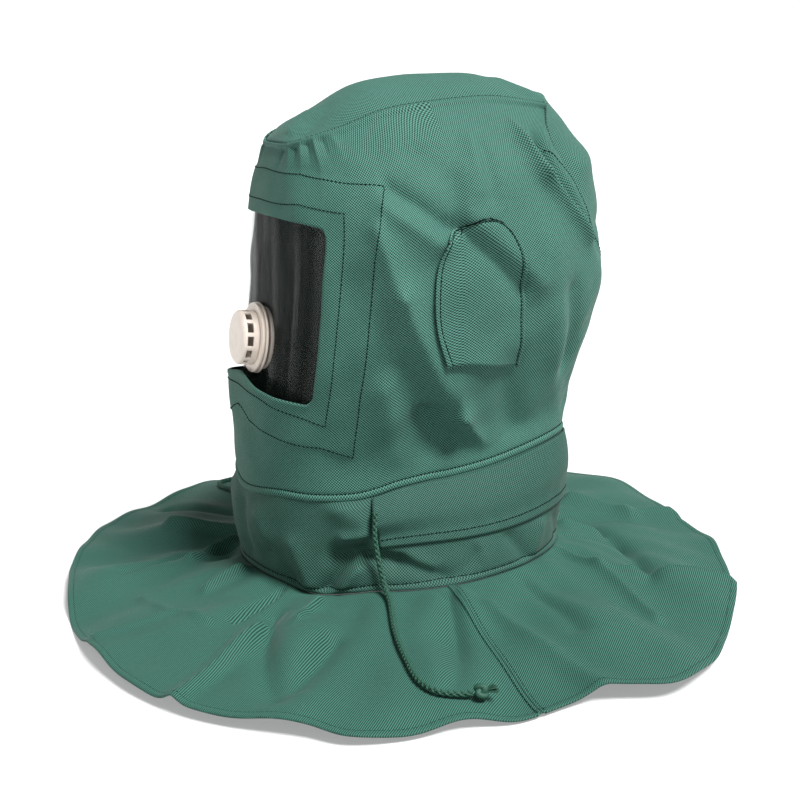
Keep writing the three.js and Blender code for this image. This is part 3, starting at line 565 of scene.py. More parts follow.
def waves(table, a, b):
    total = 0.0
    for first, second, phase, rise in table:
        total = total + rise * np.sin(2 * math.pi * (a * first + b * second) + phase)
    return total


def eased(share):
    share = np.clip(share, 0, 1)
    return share * share * (3 - 2 * share)


FRAME_OUTER = (
    (0.0, 0.928), (0.165, 0.912), (0.31, 0.868), (0.386, 0.848), (0.374, 0.79), (0.356, 0.666),
    (0.352, 0.506),
    (0.348, 0.282), (0.355, 0.11), (0.279, 0.142), (0.164, 0.164), (0.041, 0.196), (0.0, 0.23),
)
FRAME_INNER = (
    (0.0, 0.84), (0.165, 0.83), (0.289, 0.796), (0.283, 0.6), (0.28, 0.4), (0.281, 0.206), (0.215, 0.234),
    (0.084, 0.278), (0.0, 0.29),
)


def facing_share(run, height):
    """1 on the facing round the window, easing to 0 just outside its outer stitch line."""
    corner_runs, corner_heights = np.transpose(FRAME_OUTER)
    side = np.interp(height, corner_heights[8:2:-1], corner_runs[8:2:-1])
    top = np.interp(np.abs(run), corner_runs[:4], corner_heights[:4])
    bottom = np.interp(np.abs(run), corner_runs[:7:-1], corner_heights[:7:-1])
    inside = np.minimum((side - np.abs(run)) * RUN_LENGTH, (top - height) * HEIGHT_LENGTH)
    inside = np.minimum(inside, (height - bottom) * HEIGHT_LENGTH)
    return eased(inside / FACING_EASE + 0.8)


def panel_rise(run, height):
    away = np.abs(run)
    rise = np.zeros(np.broadcast(run, height).shape)
    for side in (-1, 0, 1):
        rows = [fold[1:] for fold in PANEL_FOLDS if fold[0] == side]
        here = 1.0 if side == 0 else eased(0.5 + side * run * 12)
        rise = rise + here * fold_rise(rows, away, height, RUN_LENGTH, HEIGHT_LENGTH)
    for side, place, length, width, gather in FOREHEAD_GATHERS:
        across = np.exp(-(((run * side - place) * RUN_LENGTH) / width) ** 2)
        rise = rise + gather * across * np.exp(-((1 - height) / length) ** 2) * eased((1 - height) / 0.012)
    calm = eased((height - 0.02) / 0.1) * eased((0.985 - height) / 0.1) * eased((0.99 - away) / 0.08)
    gathered = eased((1 - height) / 0.02) * eased((0.99 - away) / 0.08) * eased(height / 0.05)
    forehead = (away < 0.36) & (height > 0.8)
    rise = FOLD_DEPTH * np.where(forehead, rise * gathered, rise * calm)
    return rise + waves(WAVES, run, height) * calm * WAVE_DEPTH + FACING_LIFT * facing_share(run, height)


def hem_roll(over_seam):
    """Rise of a folded and topstitched edge at a distance from its seam: a roll and the stitches' groove."""
    rounded = 0.75 + 0.25 * np.sin(over_seam * 0.75)
    roll = HEM_ROLL * eased((HEM_ROLL_WIDTH + 0.4 - over_seam) / 1.0) * rounded
    return roll - 0.5 * np.exp(-((over_seam - HEM_ROLL_WIDTH - 1.0) / 1.1) ** 2)


def panel(run, height):
    """Outer face of the finished panel, with its folds, its facing and the roll at its lower edge."""
    run, height = np.broadcast_arrays(np.asarray(run, float), np.asarray(height, float))
    inside_run, inside_height = np.clip(run, -0.985, 0.985), np.clip(height, 0.01, 0.985)
    normal = outward(smooth_panel, inside_run, inside_height)
    over_seam = height * HEIGHT_LENGTH
    under_crown = (1 - height) * HEIGHT_LENGTH
    roll = hem_roll(over_seam) + CROWN_EDGE * eased((CROWN_EDGE_WIDTH - under_crown) / 1.6)
    beside_rear = (1 - np.abs(run)) * RUN_LENGTH
    roll = roll + CROWN_EDGE * 0.8 * eased((CROWN_EDGE_WIDTH - beside_rear) / 2.0) * eased(under_crown / 10)
    below_window = (window_edge(run, "bottom", 1) - height) * HEIGHT_LENGTH
    lip = eased((WINDOW_LIP_WIDTH + 0.5 - below_window) / 1.0)
    lip = lip * (np.abs(run) < WINDOW_RUN) * (below_window > -1.0)
    roll = roll + WINDOW_LIP * lip * eased((WINDOW_RUN - np.abs(run)) * RUN_LENGTH / 5.0)
    points = smooth_panel(run, height) + normal * (panel_rise(run, height) + roll)[..., None]
    points[..., 2] -= HEM_DROP * eased(1 - over_seam / HEM_ROLL_WIDTH)
    return settled(points)


def window_edge(run, column, rounding):
    """Height of the window's edge, turned towards the opening's middle at the rounded corners."""
    edge = reading(WINDOW_EDGE, "run", column, np.abs(run))
    into = np.clip((np.abs(run) - WINDOW_RUN + WINDOW_CORNER) / WINDOW_CORNER, 0, 1)
    back = 1 - eased((np.abs(run) - WINDOW_RUN) / 0.06)
    return edge + rounding * WINDOW_CORNER_HEIGHT * (1 - np.sqrt(1 - into ** 2)) * back


def woven(name, dark, light, pitch, twill, relief, mottle=0.16):
    """Cloth finish on the piece's own UV map in metres: basket weave, or twill where twill is 1."""
    material, shader = new_material(name)
    tree = material.node_tree
    uv = add_node(tree, "ShaderNodeUVMap", uv_map="cut").outputs["UV"]
    place = add_node(tree, "ShaderNodeTexCoord").outputs["Object"]
    parts = add_node(tree, "ShaderNodeSeparateXYZ")
    tree.links.new(uv, parts.inputs[0])
    drift = noise_value(tree, place, 90.0)
    drift_turns = math_node(tree, "MULTIPLY", drift, WEAVE_DRIFT)
    warp = math_node(tree, "MULTIPLY", parts.outputs[0], 2 * math.pi / pitch)
    weft = math_node(tree, "MULTIPLY", parts.outputs[1], 2 * math.pi / pitch)
    warp = math_node(tree, "ADD", warp, drift_turns)
    weft = math_node(tree, "ADD", weft, drift_turns)
    basket = math_node(tree, "MULTIPLY", math_node(tree, "SINE", warp), math_node(tree, "SINE", weft))
    diagonal = math_node(tree, "SINE", math_node(tree, "ADD", warp, weft))
    basket_part = math_node(tree, "MULTIPLY", basket, 1.0 - twill)
    twill_part = math_node(tree, "MULTIPLY", diagonal, twill)
    threads = math_node(tree, "ADD", basket_part, twill_part)
    share = math_node(tree, "MULTIPLY_ADD", threads, 1.0, 0.5)
    broad = noise_value(tree, place, 11.0, 4.0)
    fine = noise_value(tree, place, 420.0, 2.0)
    worn = math_node(tree, "MULTIPLY_ADD", broad, mottle, -0.5 * mottle)
    flecks = math_node(tree, "MULTIPLY_ADD", fine, FLECKS, -0.5 * FLECKS)
    share = math_node(tree, "ADD", math_node(tree, "ADD", share, worn), flecks)
    share.node.use_clamp = True
    tree.links.new(mixed_colour(tree, share, dark, light), shader.inputs["Base Color"])
    crumple = noise_value(tree, place, 55.0, 4.0)
    thread_height = math_node(tree, "MULTIPLY", threads, THREAD_HEIGHT)
    crumple_height = math_node(tree, "MULTIPLY", crumple, CRUMPLE_HEIGHT)
    height = math_node(tree, "ADD", thread_height, crumple_height)
    bump = add_node(tree, "ShaderNodeBump")
    set_values(bump, Distance=relief, Strength=0.8)
    tree.links.new(height, bump.inputs["Height"])
    tree.links.new(bump.outputs["Normal"], shader.inputs["Normal"])
    set_values(shader, Roughness=0.72, Sheen_Weight=0.06, Sheen_Roughness=0.4, Specular_IOR_Level=0.15)
    return material


hood_cloth = woven("hood_cloth", CLOTH_DARK, CLOTH_LIGHT, WEAVE_PITCH, 0.0, 0.00025)
# Darker copy of the hood cloth for the neck band and the cord casing: painted shade, standing for the shade
# that the head casts on them.
band_painted_shade_cloth = woven("band_painted_shade_cloth", srgb(6, 25, 20), srgb(66, 108, 96), WEAVE_PITCH, 0.0, 0.00025)
# Inner face of all the hood's cloth pieces: a darker, duller copy of the weave, which paints the shade inside
# the hood.
hood_inside_painted_shade = woven("hood_inside_painted_shade", srgb(16, 36, 31), srgb(26, 50, 43), 0.0021, 0.0, 0.00005)


def laid_flat(points):
    """Place of each grid point on the flat cloth, by the mean lengths of the grid's cells both ways."""
    across = np.linalg.norm(np.diff(points, axis=0), axis=2).mean(1)
    up = np.linalg.norm(np.diff(points, axis=1), axis=2).mean(0)
    u = np.concatenate([[0.0], np.cumsum(across)])
    v = np.concatenate([[0.0], np.cumsum(up)])
    return np.stack(np.meshgrid(u, v, indexing="ij"), -1) * 0.001


def cloth_piece(name, points, uv, materials, cells=None, thickness=CLOTH, round_grid=False):
    """Cloth grid of outer points with a wall: points[i, j] with i across and j up, seen from outside."""
    columns, rows = points.shape[0] - 1, points.shape[1] - 1
    vertices = placed(points[:-1] if round_grid else points)
    width = columns if round_grid else columns + 1
    index = np.arange(width * (rows + 1)).reshape(width, rows + 1)
    if round_grid:
        index = np.vstack([index, index[:1]])
    keep = np.ones((columns, rows), bool) if cells is None else cells
    corners = (index[:-1, :-1], index[1:, :-1], index[1:, 1:], index[:-1, 1:])
    faces = np.stack([corner[keep] for corner in corners], -1)
    used = np.unique(faces)
    renumber = np.full(width * (rows + 1), -1)
    renumber[used] = np.arange(len(used))
    made = mesh_object(name, vertices.reshape(-1, 3)[used], renumber[faces], materials)
    coordinates = np.stack([uv[:-1, :-1], uv[1:, :-1], uv[1:, 1:], uv[:-1, 1:]], -2)[keep]
    made.data.uv_layers.new(name="cut").data.foreach_set("uv", coordinates.ravel())
    wall = made.modifiers.new("wall", "SOLIDIFY")
    wall.thickness = thickness * 0.001
    wall.offset = -1.0
    wall.use_even_offset = True
    wall.material_offset = 1
    return made


def as_sheet(piece, node):
    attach(piece, "root")
    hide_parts(node)


half_runs = np.concatenate([
    np.linspace(0.0, WINDOW_RUN - WINDOW_CORNER, 34, endpoint=False),
    np.linspace(WINDOW_RUN - WINDOW_CORNER, WINDOW_RUN, 6, endpoint=False),
    np.linspace(WINDOW_RUN, 1.0, PANEL_COLUMNS // 2 - 39),
])
panel_runs = np.concatenate([-half_runs[:0:-1], half_runs])
edge_low = window_edge(panel_runs, "bottom", 1)
edge_high = window_edge(panel_runs, "top", -1)
LOW_ROWS, WINDOW_ROWS, HIGH_ROWS = 40, 56, 32
low_shares = np.concatenate([
    np.linspace(0.0, 0.085, 9, endpoint=False), np.linspace(0.085, 1.0, LOW_ROWS - 8)[:-1],
])
high_shares = np.concatenate([np.linspace(0.0, 0.9, HIGH_ROWS - 6, endpoint=False), np.linspace(0.9, 1.0, 7)])
panel_heights = np.concatenate([
    edge_low[:, None] * low_shares,
    edge_low[:, None] + (edge_high - edge_low)[:, None] * np.linspace(0.0, 1.0, WINDOW_ROWS, endpoint=False),
    edge_high[:, None] + (1 - edge_high)[:, None] * high_shares,
], 1)
panel_grid_runs = np.broadcast_to(panel_runs[:, None], panel_heights.shape)
panel_points = panel(panel_grid_runs, panel_heights)
middle_runs = (panel_runs[1:] + panel_runs[:-1]) / 2
cloth_cells = np.ones((len(panel_runs) - 1, panel_heights.shape[1] - 1), bool)
cloth_cells[np.abs(middle_runs) < WINDOW_RUN, LOW_ROWS:LOW_ROWS + WINDOW_ROWS] = False
panel_uv = laid_flat(smooth_panel(panel_grid_runs, panel_heights))
panel_uv[..., 1] = panel_heights * HEIGHT_LENGTH * 0.001
# Outer face in the hood cloth, inner face in its darker copy that paints the shade inside.
hood_finishes = [hood_cloth, hood_inside_painted_shade]
hood_panel = cloth_piece("hood_panel_cloth", panel_points, panel_uv, hood_finishes, cloth_cells)
as_sheet(hood_panel, "hood_panel")


# Stitching of the panel
# Lockstitch in thick darker thread: two lines round the window facing and one along the neck seam.
STITCH_PITCH = 3.0
STITCH_LENGTH = 2.9
STITCH_RADIUS = 0.48
thread_finish = plain_finish("thread_green", srgb(5, 20, 16), srgb(12, 38, 31), 0.8, 900.0, 0.0001)
set_values(thread_finish.node_tree.nodes["Principled BSDF"], Specular_IOR_Level=0.08)


def stitch_tree():
    tree = bpy.data.node_groups.new("stitches_on_a_line", "GeometryNodeTree")
    sockets = {}
    for label, kind in (
        ("Geometry", "NodeSocketGeometry"), ("Stitch pitch", "NodeSocketFloat"),
        ("Stitch length", "NodeSocketFloat"), ("Thread radius", "NodeSocketFloat"),
        ("Thread", "NodeSocketMaterial"),
    ):
        sockets[label] = tree.interface.new_socket(label, in_out="INPUT", socket_type=kind).identifier
    tree.interface.new_socket("Geometry", in_out="OUTPUT", socket_type="NodeSocketGeometry")
    given = add_node(tree, "NodeGroupInput").outputs
    result = add_node(tree, "NodeGroupOutput")
    line = add_node(tree, "GeometryNodeMeshToCurve")
    spaced = add_node(tree, "GeometryNodeResampleCurve", mode="LENGTH")
    tangent = add_node(tree, "GeometryNodeInputTangent")
    turned = add_node(tree, "FunctionNodeAlignRotationToVector", axis="X")
    stitch = add_node(tree, "GeometryNodeMeshIcoSphere")
    set_values(stitch, Radius=1.0, Subdivisions=1)
    half = add_node(tree, "ShaderNodeMath", operation="MULTIPLY")
    half.inputs[1].default_value = 0.5
    size = add_node(tree, "ShaderNodeCombineXYZ")
    laid = add_node(tree, "GeometryNodeInstanceOnPoints")
    real = add_node(tree, "GeometryNodeRealizeInstances")
    smooth = add_node(tree, "GeometryNodeSetShadeSmooth")
    painted = add_node(tree, "GeometryNodeSetMaterial")
    for source, target in (
        (given["Geometry"], line.inputs["Mesh"]), (line.outputs["Curve"], spaced.inputs["Curve"]),
        (given["Stitch pitch"], spaced.inputs["Length"]), (tangent.outputs[0], turned.inputs["Vector"]),
        (given["Stitch length"], half.inputs[0]), (half.outputs[0], size.inputs[0]),
        (given["Thread radius"], size.inputs[1]), (given["Thread radius"], size.inputs[2]),
        (spaced.outputs["Curve"], laid.inputs["Points"]), (stitch.outputs["Mesh"], laid.inputs["Instance"]),
        (turned.outputs["Rotation"], laid.inputs["Rotation"]), (size.outputs[0], laid.inputs["Scale"]),
        (laid.outputs["Instances"], smooth.inputs["Geometry"]),
        (smooth.outputs["Geometry"], real.inputs["Geometry"]),
        (real.outputs["Geometry"], painted.inputs["Geometry"]), (given["Thread"], painted.inputs["Material"]),
        (painted.outputs["Geometry"], result.inputs["Geometry"]),
    ):
        tree.links.new(source, target)
    return tree, sockets


stitches, stitch_sockets = stitch_tree()


def stitched(name, lines, pitch=STITCH_PITCH, length=STITCH_LENGTH, radius=STITCH_RADIUS):
    """Row of stitches along each line of points, made by the node tree and kept as a plain mesh."""
    vertices, edges = [], []
    for line in lines:
        start = len(vertices)
        vertices += [tuple(p) for p in placed(line)]
        edges += [(start + k, start + k + 1) for k in range(len(line) - 1)]
    mesh = bpy.data.meshes.new(name)
    mesh.from_pydata(vertices, edges, [])
    guide = bpy.data.objects.new(name + "_guide", mesh)
    bpy.context.scene.collection.objects.link(guide)
    modifier = guide.modifiers.new("stitches", "NODES")
    modifier.node_group = stitches
    modifier[stitch_sockets["Stitch pitch"]] = pitch * 0.001
    modifier[stitch_sockets["Stitch length"]] = length * 0.001
    modifier[stitch_sockets["Thread radius"]] = radius * 0.001
    modifier[stitch_sockets["Thread"]] = thread_finish
    bpy.context.view_layer.update()
    result = bpy.data.meshes.new_from_object(guide.evaluated_get(bpy.context.evaluated_depsgraph_get()))
    bpy.data.objects.remove(guide)
    made = bpy.data.objects.new(name, result)
    bpy.context.scene.collection.objects.link(made)
    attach(made, "root")
    return made


def on_surface(surface, marks, out, steps=14):
    """Points over a surface along straight runs between parameter marks."""
    marks = np.asarray(marks, float)
    shares = np.linspace(0, 1, steps, endpoint=False)[:, None]
    line = np.vstack([a + (b - a) * shares for a, b in zip(marks[:-1], marks[1:])] + [marks[-1:]])
    return surface(line[:, 0], line[:, 1]) + outward(surface, line[:, 0], line[:, 1]) * out


frame_lines = []
for marks in (FRAME_INNER, FRAME_OUTER):
    frame_lines.append(on_surface(panel, marks, 0.12))
    frame_lines.append(on_surface(panel, [(-run, height) for run, height in marks], 0.12))
neck_marks = [(run, (HEM_ROLL_WIDTH + 0.9) / HEIGHT_LENGTH) for run in np.linspace(-0.985, 0.985, 60)]
frame_lines.append(on_surface(panel, neck_marks, 0.2, 3))
stitched("panel_stitching", frame_lines)


# Window sheet
# A clear PVC sheet behind the opening, sewn in with the facing's inner line. It bows less than the
# cloth, so the lower hem stands off it.
SHEET_LAP_RUN = 0.035
SHEET_LAP_HEIGHT = 0.05
SHEET_TOP = 0.8
SHEET_BOTTOM = 0.325
SHEET_TOP_DROOP = 0.04
SHEET_BOTTOM_DROOP = 0.05
SHEET_THICKNESS = 0.8
SHEET_SET_BACK = 6.5
SHEET_FLAT_BELOW = 0.5
LAID_GAP = 0.35
VALVE_HEIGHT = 200.0
HUB_RADIUS = 15.5
SHEET_CLEARANCE = 0.3
# Stretch of the long vertical noise streaks that are painted into the sheet as reflections
REFLECTION_STREAK_SCALES = (60.0, 2.5, 1.0)
SHEET_BENDS = ((52.0, 3.0, 0.9), (-46.0, 4.0, 0.8), (24.0, 5.0, -0.5))


def window_droop(run):
    return np.minimum(1, np.abs(run) / WINDOW_RUN) ** 1.5


def sheet_surface(run, height):
    lap = WINDOW_RUN + SHEET_LAP_RUN
    top_lap = SHEET_TOP + SHEET_LAP_HEIGHT - SHEET_TOP_DROOP * window_droop(run)
    down = eased((top_lap - height) / (top_lap - SHEET_FLAT_BELOW))
    across = np.cos((math.pi / 2) * np.clip(run / lap, -1, 1)) ** 0.8
    back = CLOTH + LAID_GAP + SHEET_SET_BACK * across * down
    for place, width, depth in SHEET_BENDS:
        back = back + depth * (np.exp(-((run * RUN_LENGTH - place) / width) ** 2)) * down
    return smooth_panel(run, height) - outward(smooth_panel, run, height) * back[..., None]


# The sheet's colour and opacity follow the vertical streaks: the pale, more opaque streaks are painted
# reflections of the lamps, and the rest is a faint dark tint.
clear_pvc, clear_shader = new_material("clear_pvc")
clear_tree = clear_pvc.node_tree
clear_uv = add_node(clear_tree, "ShaderNodeUVMap", uv_map="cut").outputs["UV"]
stretch = add_node(clear_tree, "ShaderNodeMapping")
set_values(stretch, Scale=REFLECTION_STREAK_SCALES)
clear_tree.links.new(clear_uv, stretch.inputs["Vector"])
painted_reflection_streaks = noise_value(clear_tree, stretch.outputs["Vector"], 1.0, 3.0)
reflection_streak_opacity = add_node(clear_tree, "ShaderNodeMapRange")
set_values(reflection_streak_opacity, From_Min=0.45, From_Max=0.75, To_Min=0.08, To_Max=0.34)
clear_tree.links.new(painted_reflection_streaks, reflection_streak_opacity.inputs["Value"])
clear_tree.links.new(reflection_streak_opacity.outputs["Result"], clear_shader.inputs["Alpha"])
painted_reflection_colour = mixed_colour(clear_tree, painted_reflection_streaks, srgb(16, 18, 17), srgb(104, 110, 106))
clear_tree.links.new(painted_reflection_colour, clear_shader.inputs["Base Color"])
set_values(clear_shader, Roughness=0.06, IOR=1.52, Specular_IOR_Level=0.25)

forehead_height = float(crown_seam_height(np.float64(-HEAD_FRONT)))
valve_row = (VALVE_HEIGHT - NECK_SEAM) / (forehead_height - NECK_SEAM)
valve_seat = sheet_surface(np.float64(0.0), np.float64(valve_row))
valve_axis = outward(sheet_surface, np.float64(0.0), np.float64(valve_row))
sheet_runs = np.linspace(-(WINDOW_RUN + SHEET_LAP_RUN), WINDOW_RUN + SHEET_LAP_RUN, 97)
sheet_low = SHEET_BOTTOM - SHEET_BOTTOM_DROOP * window_droop(sheet_runs) - SHEET_LAP_HEIGHT
sheet_high = SHEET_TOP - SHEET_TOP_DROOP * window_droop(sheet_runs) + SHEET_LAP_HEIGHT
sheet_heights = sheet_low[:, None] + (sheet_high - sheet_low)[:, None] * np.linspace(0, 1, 73)
sheet_grid_runs = np.broadcast_to(sheet_runs[:, None], sheet_heights.shape)
sheet_points = sheet_surface(sheet_grid_runs, sheet_heights)
corner_sums = sheet_points[1:, 1:] + sheet_points[:-1, 1:] + sheet_points[1:, :-1] + sheet_points[:-1, :-1]
from_seat = corner_sums / 4 - valve_seat
off_axis = np.linalg.norm(from_seat - (from_seat @ valve_axis)[..., None] * valve_axis, axis=-1)
sheet_uv = np.stack([sheet_grid_runs * RUN_LENGTH, sheet_heights * HEIGHT_LENGTH], -1) * 0.001
window_sheet = cloth_piece(
    "window_clear_sheet", sheet_points, sheet_uv, [clear_pvc], off_axis > HUB_RADIUS + SHEET_CLEARANCE,
    SHEET_THICKNESS,
)
as_sheet(window_sheet, "window_sheet")


# Exhaust valve
# Moulded in cream plastic: a grooved flange in front of the window sheet, a ring that clamps it from
# behind, and a slotted cap over the breathing hole.
VALVE_CREAM_DARK = srgb(222, 209, 196)
VALVE_CREAM_LIGHT = srgb(242, 231, 220)
FLANGE_RADIUS = 26.0
FLANGE_RIM = 1.6
FLANGE_GROOVE = 1.1
GROOVE_DEPTH = 3.0
FLANGE_FACE = 1.7
FACE_INSET = 0.5
VALVE_BORE_RADIUS = 13.0
CLAMP_RADIUS = 23.0
CLAMP_THICKNESS = 2.5
CAP_RADIUS = 20.0
CAP_FACE_RADIUS = 15.5
CAP_LENGTH = 12.5
CAP_GAP = 0.3
CAP_WALL = 2.0
CAP_SHOULDER = 3.0
CAP_SLOTS = 12
CAP_BAR = 3.0
CAP_SLOT_LENGTH = 4.5
valve_cream = plain_finish("valve_cream", VALVE_CREAM_DARK, VALVE_CREAM_LIGHT, 0.42, 160.0, 0.00012)

spin = Vector((0, 0, 1)).rotation_difference(Vector(valve_axis)).to_matrix()
valve_turn = np.array(spin)
local_points = (sheet_points.reshape(-1, 3) - valve_seat) @ valve_turn
near_clamp = np.hypot(local_points[:, 0], local_points[:, 1]) < CLAMP_RADIUS + 6.0
sheet_sag = -local_points[near_clamp, 2].min()
clamp_top = -sheet_sag - SHEET_THICKNESS - SHEET_CLEARANCE
hub_end = clamp_top - CLAMP_THICKNESS
rim_top = LAID_GAP + FLANGE_RIM
groove_top = rim_top + FLANGE_GROOVE
flange_top = groove_top + FLANGE_FACE


def on_valve(piece, node, bevel):
    """Seats a piece that was made round the Z axis in millimetres, and lets it stand for its node."""
    count = len(piece.data.vertices)
    flat = np.empty(count * 3)
    piece.data.vertices.foreach_get("co", flat)
    seated = placed(flat.reshape(-1, 3) @ valve_turn.T + valve_seat)
    piece.data.vertices.foreach_set("co", seated.ravel())
    rounding = piece.modifiers.new("edges", "BEVEL")
    rounding.width = bevel * 0.001
    rounding.segments = 2
    rounding.limit_method = "ANGLE"
    rounding.angle_limit = math.radians(40)
    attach(piece, "root")
    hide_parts(node)


flange_profile = [
    (VALVE_BORE_RADIUS, hub_end), (HUB_RADIUS, hub_end), (HUB_RADIUS, LAID_GAP), (FLANGE_RADIUS, LAID_GAP),
    (FLANGE_RADIUS, rim_top), (FLANGE_RADIUS - GROOVE_DEPTH, rim_top),
    (FLANGE_RADIUS - GROOVE_DEPTH, groove_top),
    (FLANGE_RADIUS - FACE_INSET, groove_top), (FLANGE_RADIUS - FACE_INSET, flange_top),
    (VALVE_BORE_RADIUS, flange_top), (VALVE_BORE_RADIUS, hub_end),
]
on_valve(lathe("exhaust_flange", flange_profile, 96, [valve_cream]), "valve_flange", 0.35)
clamp_bore = HUB_RADIUS + SHEET_CLEARANCE
clamp_profile = [
    (clamp_bore, hub_end), (CLAMP_RADIUS, hub_end), (CLAMP_RADIUS, clamp_top), (clamp_bore, clamp_top),
    (clamp_bore, hub_end),
]
on_valve(lathe("exhaust_clamp_ring", clamp_profile, 72, [valve_cream]), "valve_ring", 0.3)

cap_foot = flange_top + CAP_GAP
cap_top = cap_foot + CAP_LENGTH
slot_high = cap_top - CAP_SHOULDER - 0.6
slot_low = slot_high - CAP_SLOT_LENGTH
cap_profile = [(CAP_RADIUS, height) for height in (cap_foot, slot_low, slot_high, slot_high + 0.4)]
for step in range(1, 7):
    bend = math.radians(15 * step)
    fall = CAP_SHOULDER + 0.2
    out = CAP_FACE_RADIUS + (CAP_RADIUS - CAP_FACE_RADIUS) * math.cos(bend)
    cap_profile.append((out, cap_top - fall + fall * math.sin(bend)))
cap_profile += [(CAP_FACE_RADIUS * 0.6, cap_top), (0.0, cap_top)]
cap_sides = CAP_SLOTS * 8
bar_angle = CAP_BAR / CAP_RADIUS
slot_angle = 2 * math.pi / CAP_SLOTS
steps_in_slot = np.linspace(bar_angle / 2, slot_angle - bar_angle / 2, 7)
bar_and_slot = np.concatenate([[0.0], steps_in_slot])
cap_angles = np.concatenate([k * slot_angle + bar_and_slot for k in range(CAP_SLOTS)])
cap_angles += math.pi / CAP_SLOTS
cap_vertices = [(r * math.cos(a), r * math.sin(a), z) for r, z in cap_profile[:-1] for a in cap_angles]
cap_vertices.append((0.0, 0.0, cap_top))
cap_faces = []
for ring in range(len(cap_profile) - 2):
    for i in range(cap_sides):
        if ring == 1 and 1 <= i % 8 <= 6:
            continue
        j = (i + 1) % cap_sides
        low, high = ring * cap_sides, (ring + 1) * cap_sides
        cap_faces.append((low + i, low + j, high + j, high + i))
last_ring = (len(cap_profile) - 2) * cap_sides
cap_middle = len(cap_vertices) - 1
cap_faces += [(last_ring + i, last_ring + (i + 1) % cap_sides, cap_middle) for i in range(cap_sides)]
cap = mesh_object("exhaust_cap", cap_vertices, cap_faces, [valve_cream])
cap_wall = cap.modifiers.new("wall", "SOLIDIFY")
cap_wall.thickness = CAP_WALL * 0.001
cap_wall.offset = -1.0
on_valve(cap, "valve_cap", 0.2)


# Crown strip
# A long strip of the same cloth joins the panel's two upper edges, from the neck seam up the back and
# over the head to the forehead. It domes between its seams and sags in soft cross folds at the nape.
STRIP_RISE = 40.0
STRIP_DOME = {
    "along": (0, 0.115, 0.18, 0.24, 0.29, 0.335, 0.41, 0.46, 0.5, 0.56, 0.66, 0.76, 0.86, 0.94, 1.0),
    "back": (0.42, 0.45, 0.52, 0.6, 0.7, 0.88, 1.15, 0.95, 0.4, 0.05, 0, 0, 0, -0.04, 0),
    "up": (0, 0, 0.01, 0.02, 0.03, 0.05, 0.1, 0.13, 0.16, 0.31, 0.44, 0.45, 0.26, 0.1, 0),
}
STRIP_LENGTH = 640.0
SEAM_SINK = 1.8
SEAM_SINK_WIDTH = 2.6
SEAM_LINE = 1.3
REAR_STITCH = 3.6
# run and height on the panel of the short dart that takes in its left rear corner
REAR_DART = (
    (0.84, 0.876), (0.868, 0.862), (0.9, 0.83), (0.922, 0.79), (0.934, 0.745), (0.94, 0.7), (0.934, 0.66),
    (0.93, 0.62), (0.945, 0.57), (0.985, 0.5),
)
STRIP_FOLDS = (
    # along0, across0, along1, across1, width, rise, sharp
    (0.90, 0.80, 0.82, 0.35, 9, 1.6, 0.4), (0.91, 0.35, 0.84, -0.1, 9, -1.2, 0.3),
    (0.90, -0.7, 0.82, -0.2, 9, 1.4, 0.3),
    (0.52, 0.8, 0.6, 0.2, 12, -2.0, 0.2), (0.44, -0.7, 0.4, 0.6, 12, -3.0, 0.3),
    (0.34, -0.6, 0.31, 0.7, 11, 3.0, 0.3),
    (0.26, -0.8, 0.23, 0.5, 12, -3.0, 0.3), (0.17, -0.4, 0.15, 0.8, 11, 2.5, 0.3),
    (0.09, -0.8, 0.07, 0.4, 12, -2.0, 0.2),
)
STRIP_WAVES = ((3.3, 0.3, 0.6, 0.8), (7.1, -0.4, 2.1, 0.5), (12.0, 0.7, 3.9, 0.25))


def strip_seam(along):
    up_the_back = smooth_panel(np.ones_like(along), np.clip(along / 0.5, 0, 1))
    over_the_head = smooth_panel(np.clip((1 - along) / 0.5, 0, 1), np.ones_like(along))
    return np.where((along <= 0.5)[..., None], up_the_back, over_the_head)


def smooth_strip(along, across):
    along, across = np.broadcast_arrays(np.asarray(along, float), np.asarray(across, float))
    seam = strip_seam(along)
    lift = 1 - across ** 2
    back = reading(STRIP_DOME, "along", "back", along) * STRIP_RISE * lift
    up = reading(STRIP_DOME, "along", "up", along) * STRIP_RISE * lift
    return np.stack([seam[..., 0] * across, seam[..., 1] + back, seam[..., 2] + up], -1)


def strip(along, across):
    inside_along, inside_across = np.clip(along, 0.01, 0.985), np.clip(across, -0.97, 0.97)
    normal = -outward(smooth_strip, inside_along, inside_across)
    edge = eased((1 - np.abs(across)) / 0.25) * eased(along / 0.04) * eased((1 - along) / 0.1)
    rise = fold_rise(STRIP_FOLDS, along, across, STRIP_LENGTH, STRIP_HALF_WIDTH)
    rise = rise + waves(STRIP_WAVES, along, across)
    roll = hem_roll(along * STRIP_LENGTH)
    from_seam = (1 - np.abs(across)) * STRIP_HALF_WIDTH
    sunk = SEAM_SINK * eased((SEAM_SINK_WIDTH - from_seam) / SEAM_SINK_WIDTH) * eased(along / 0.03)
    points = smooth_strip(along, across) + normal * (rise * edge + roll - sunk)[..., None]
    points[..., 2] -= HEM_DROP * eased(1 - along * STRIP_LENGTH / HEM_ROLL_WIDTH)
    return settled(points)


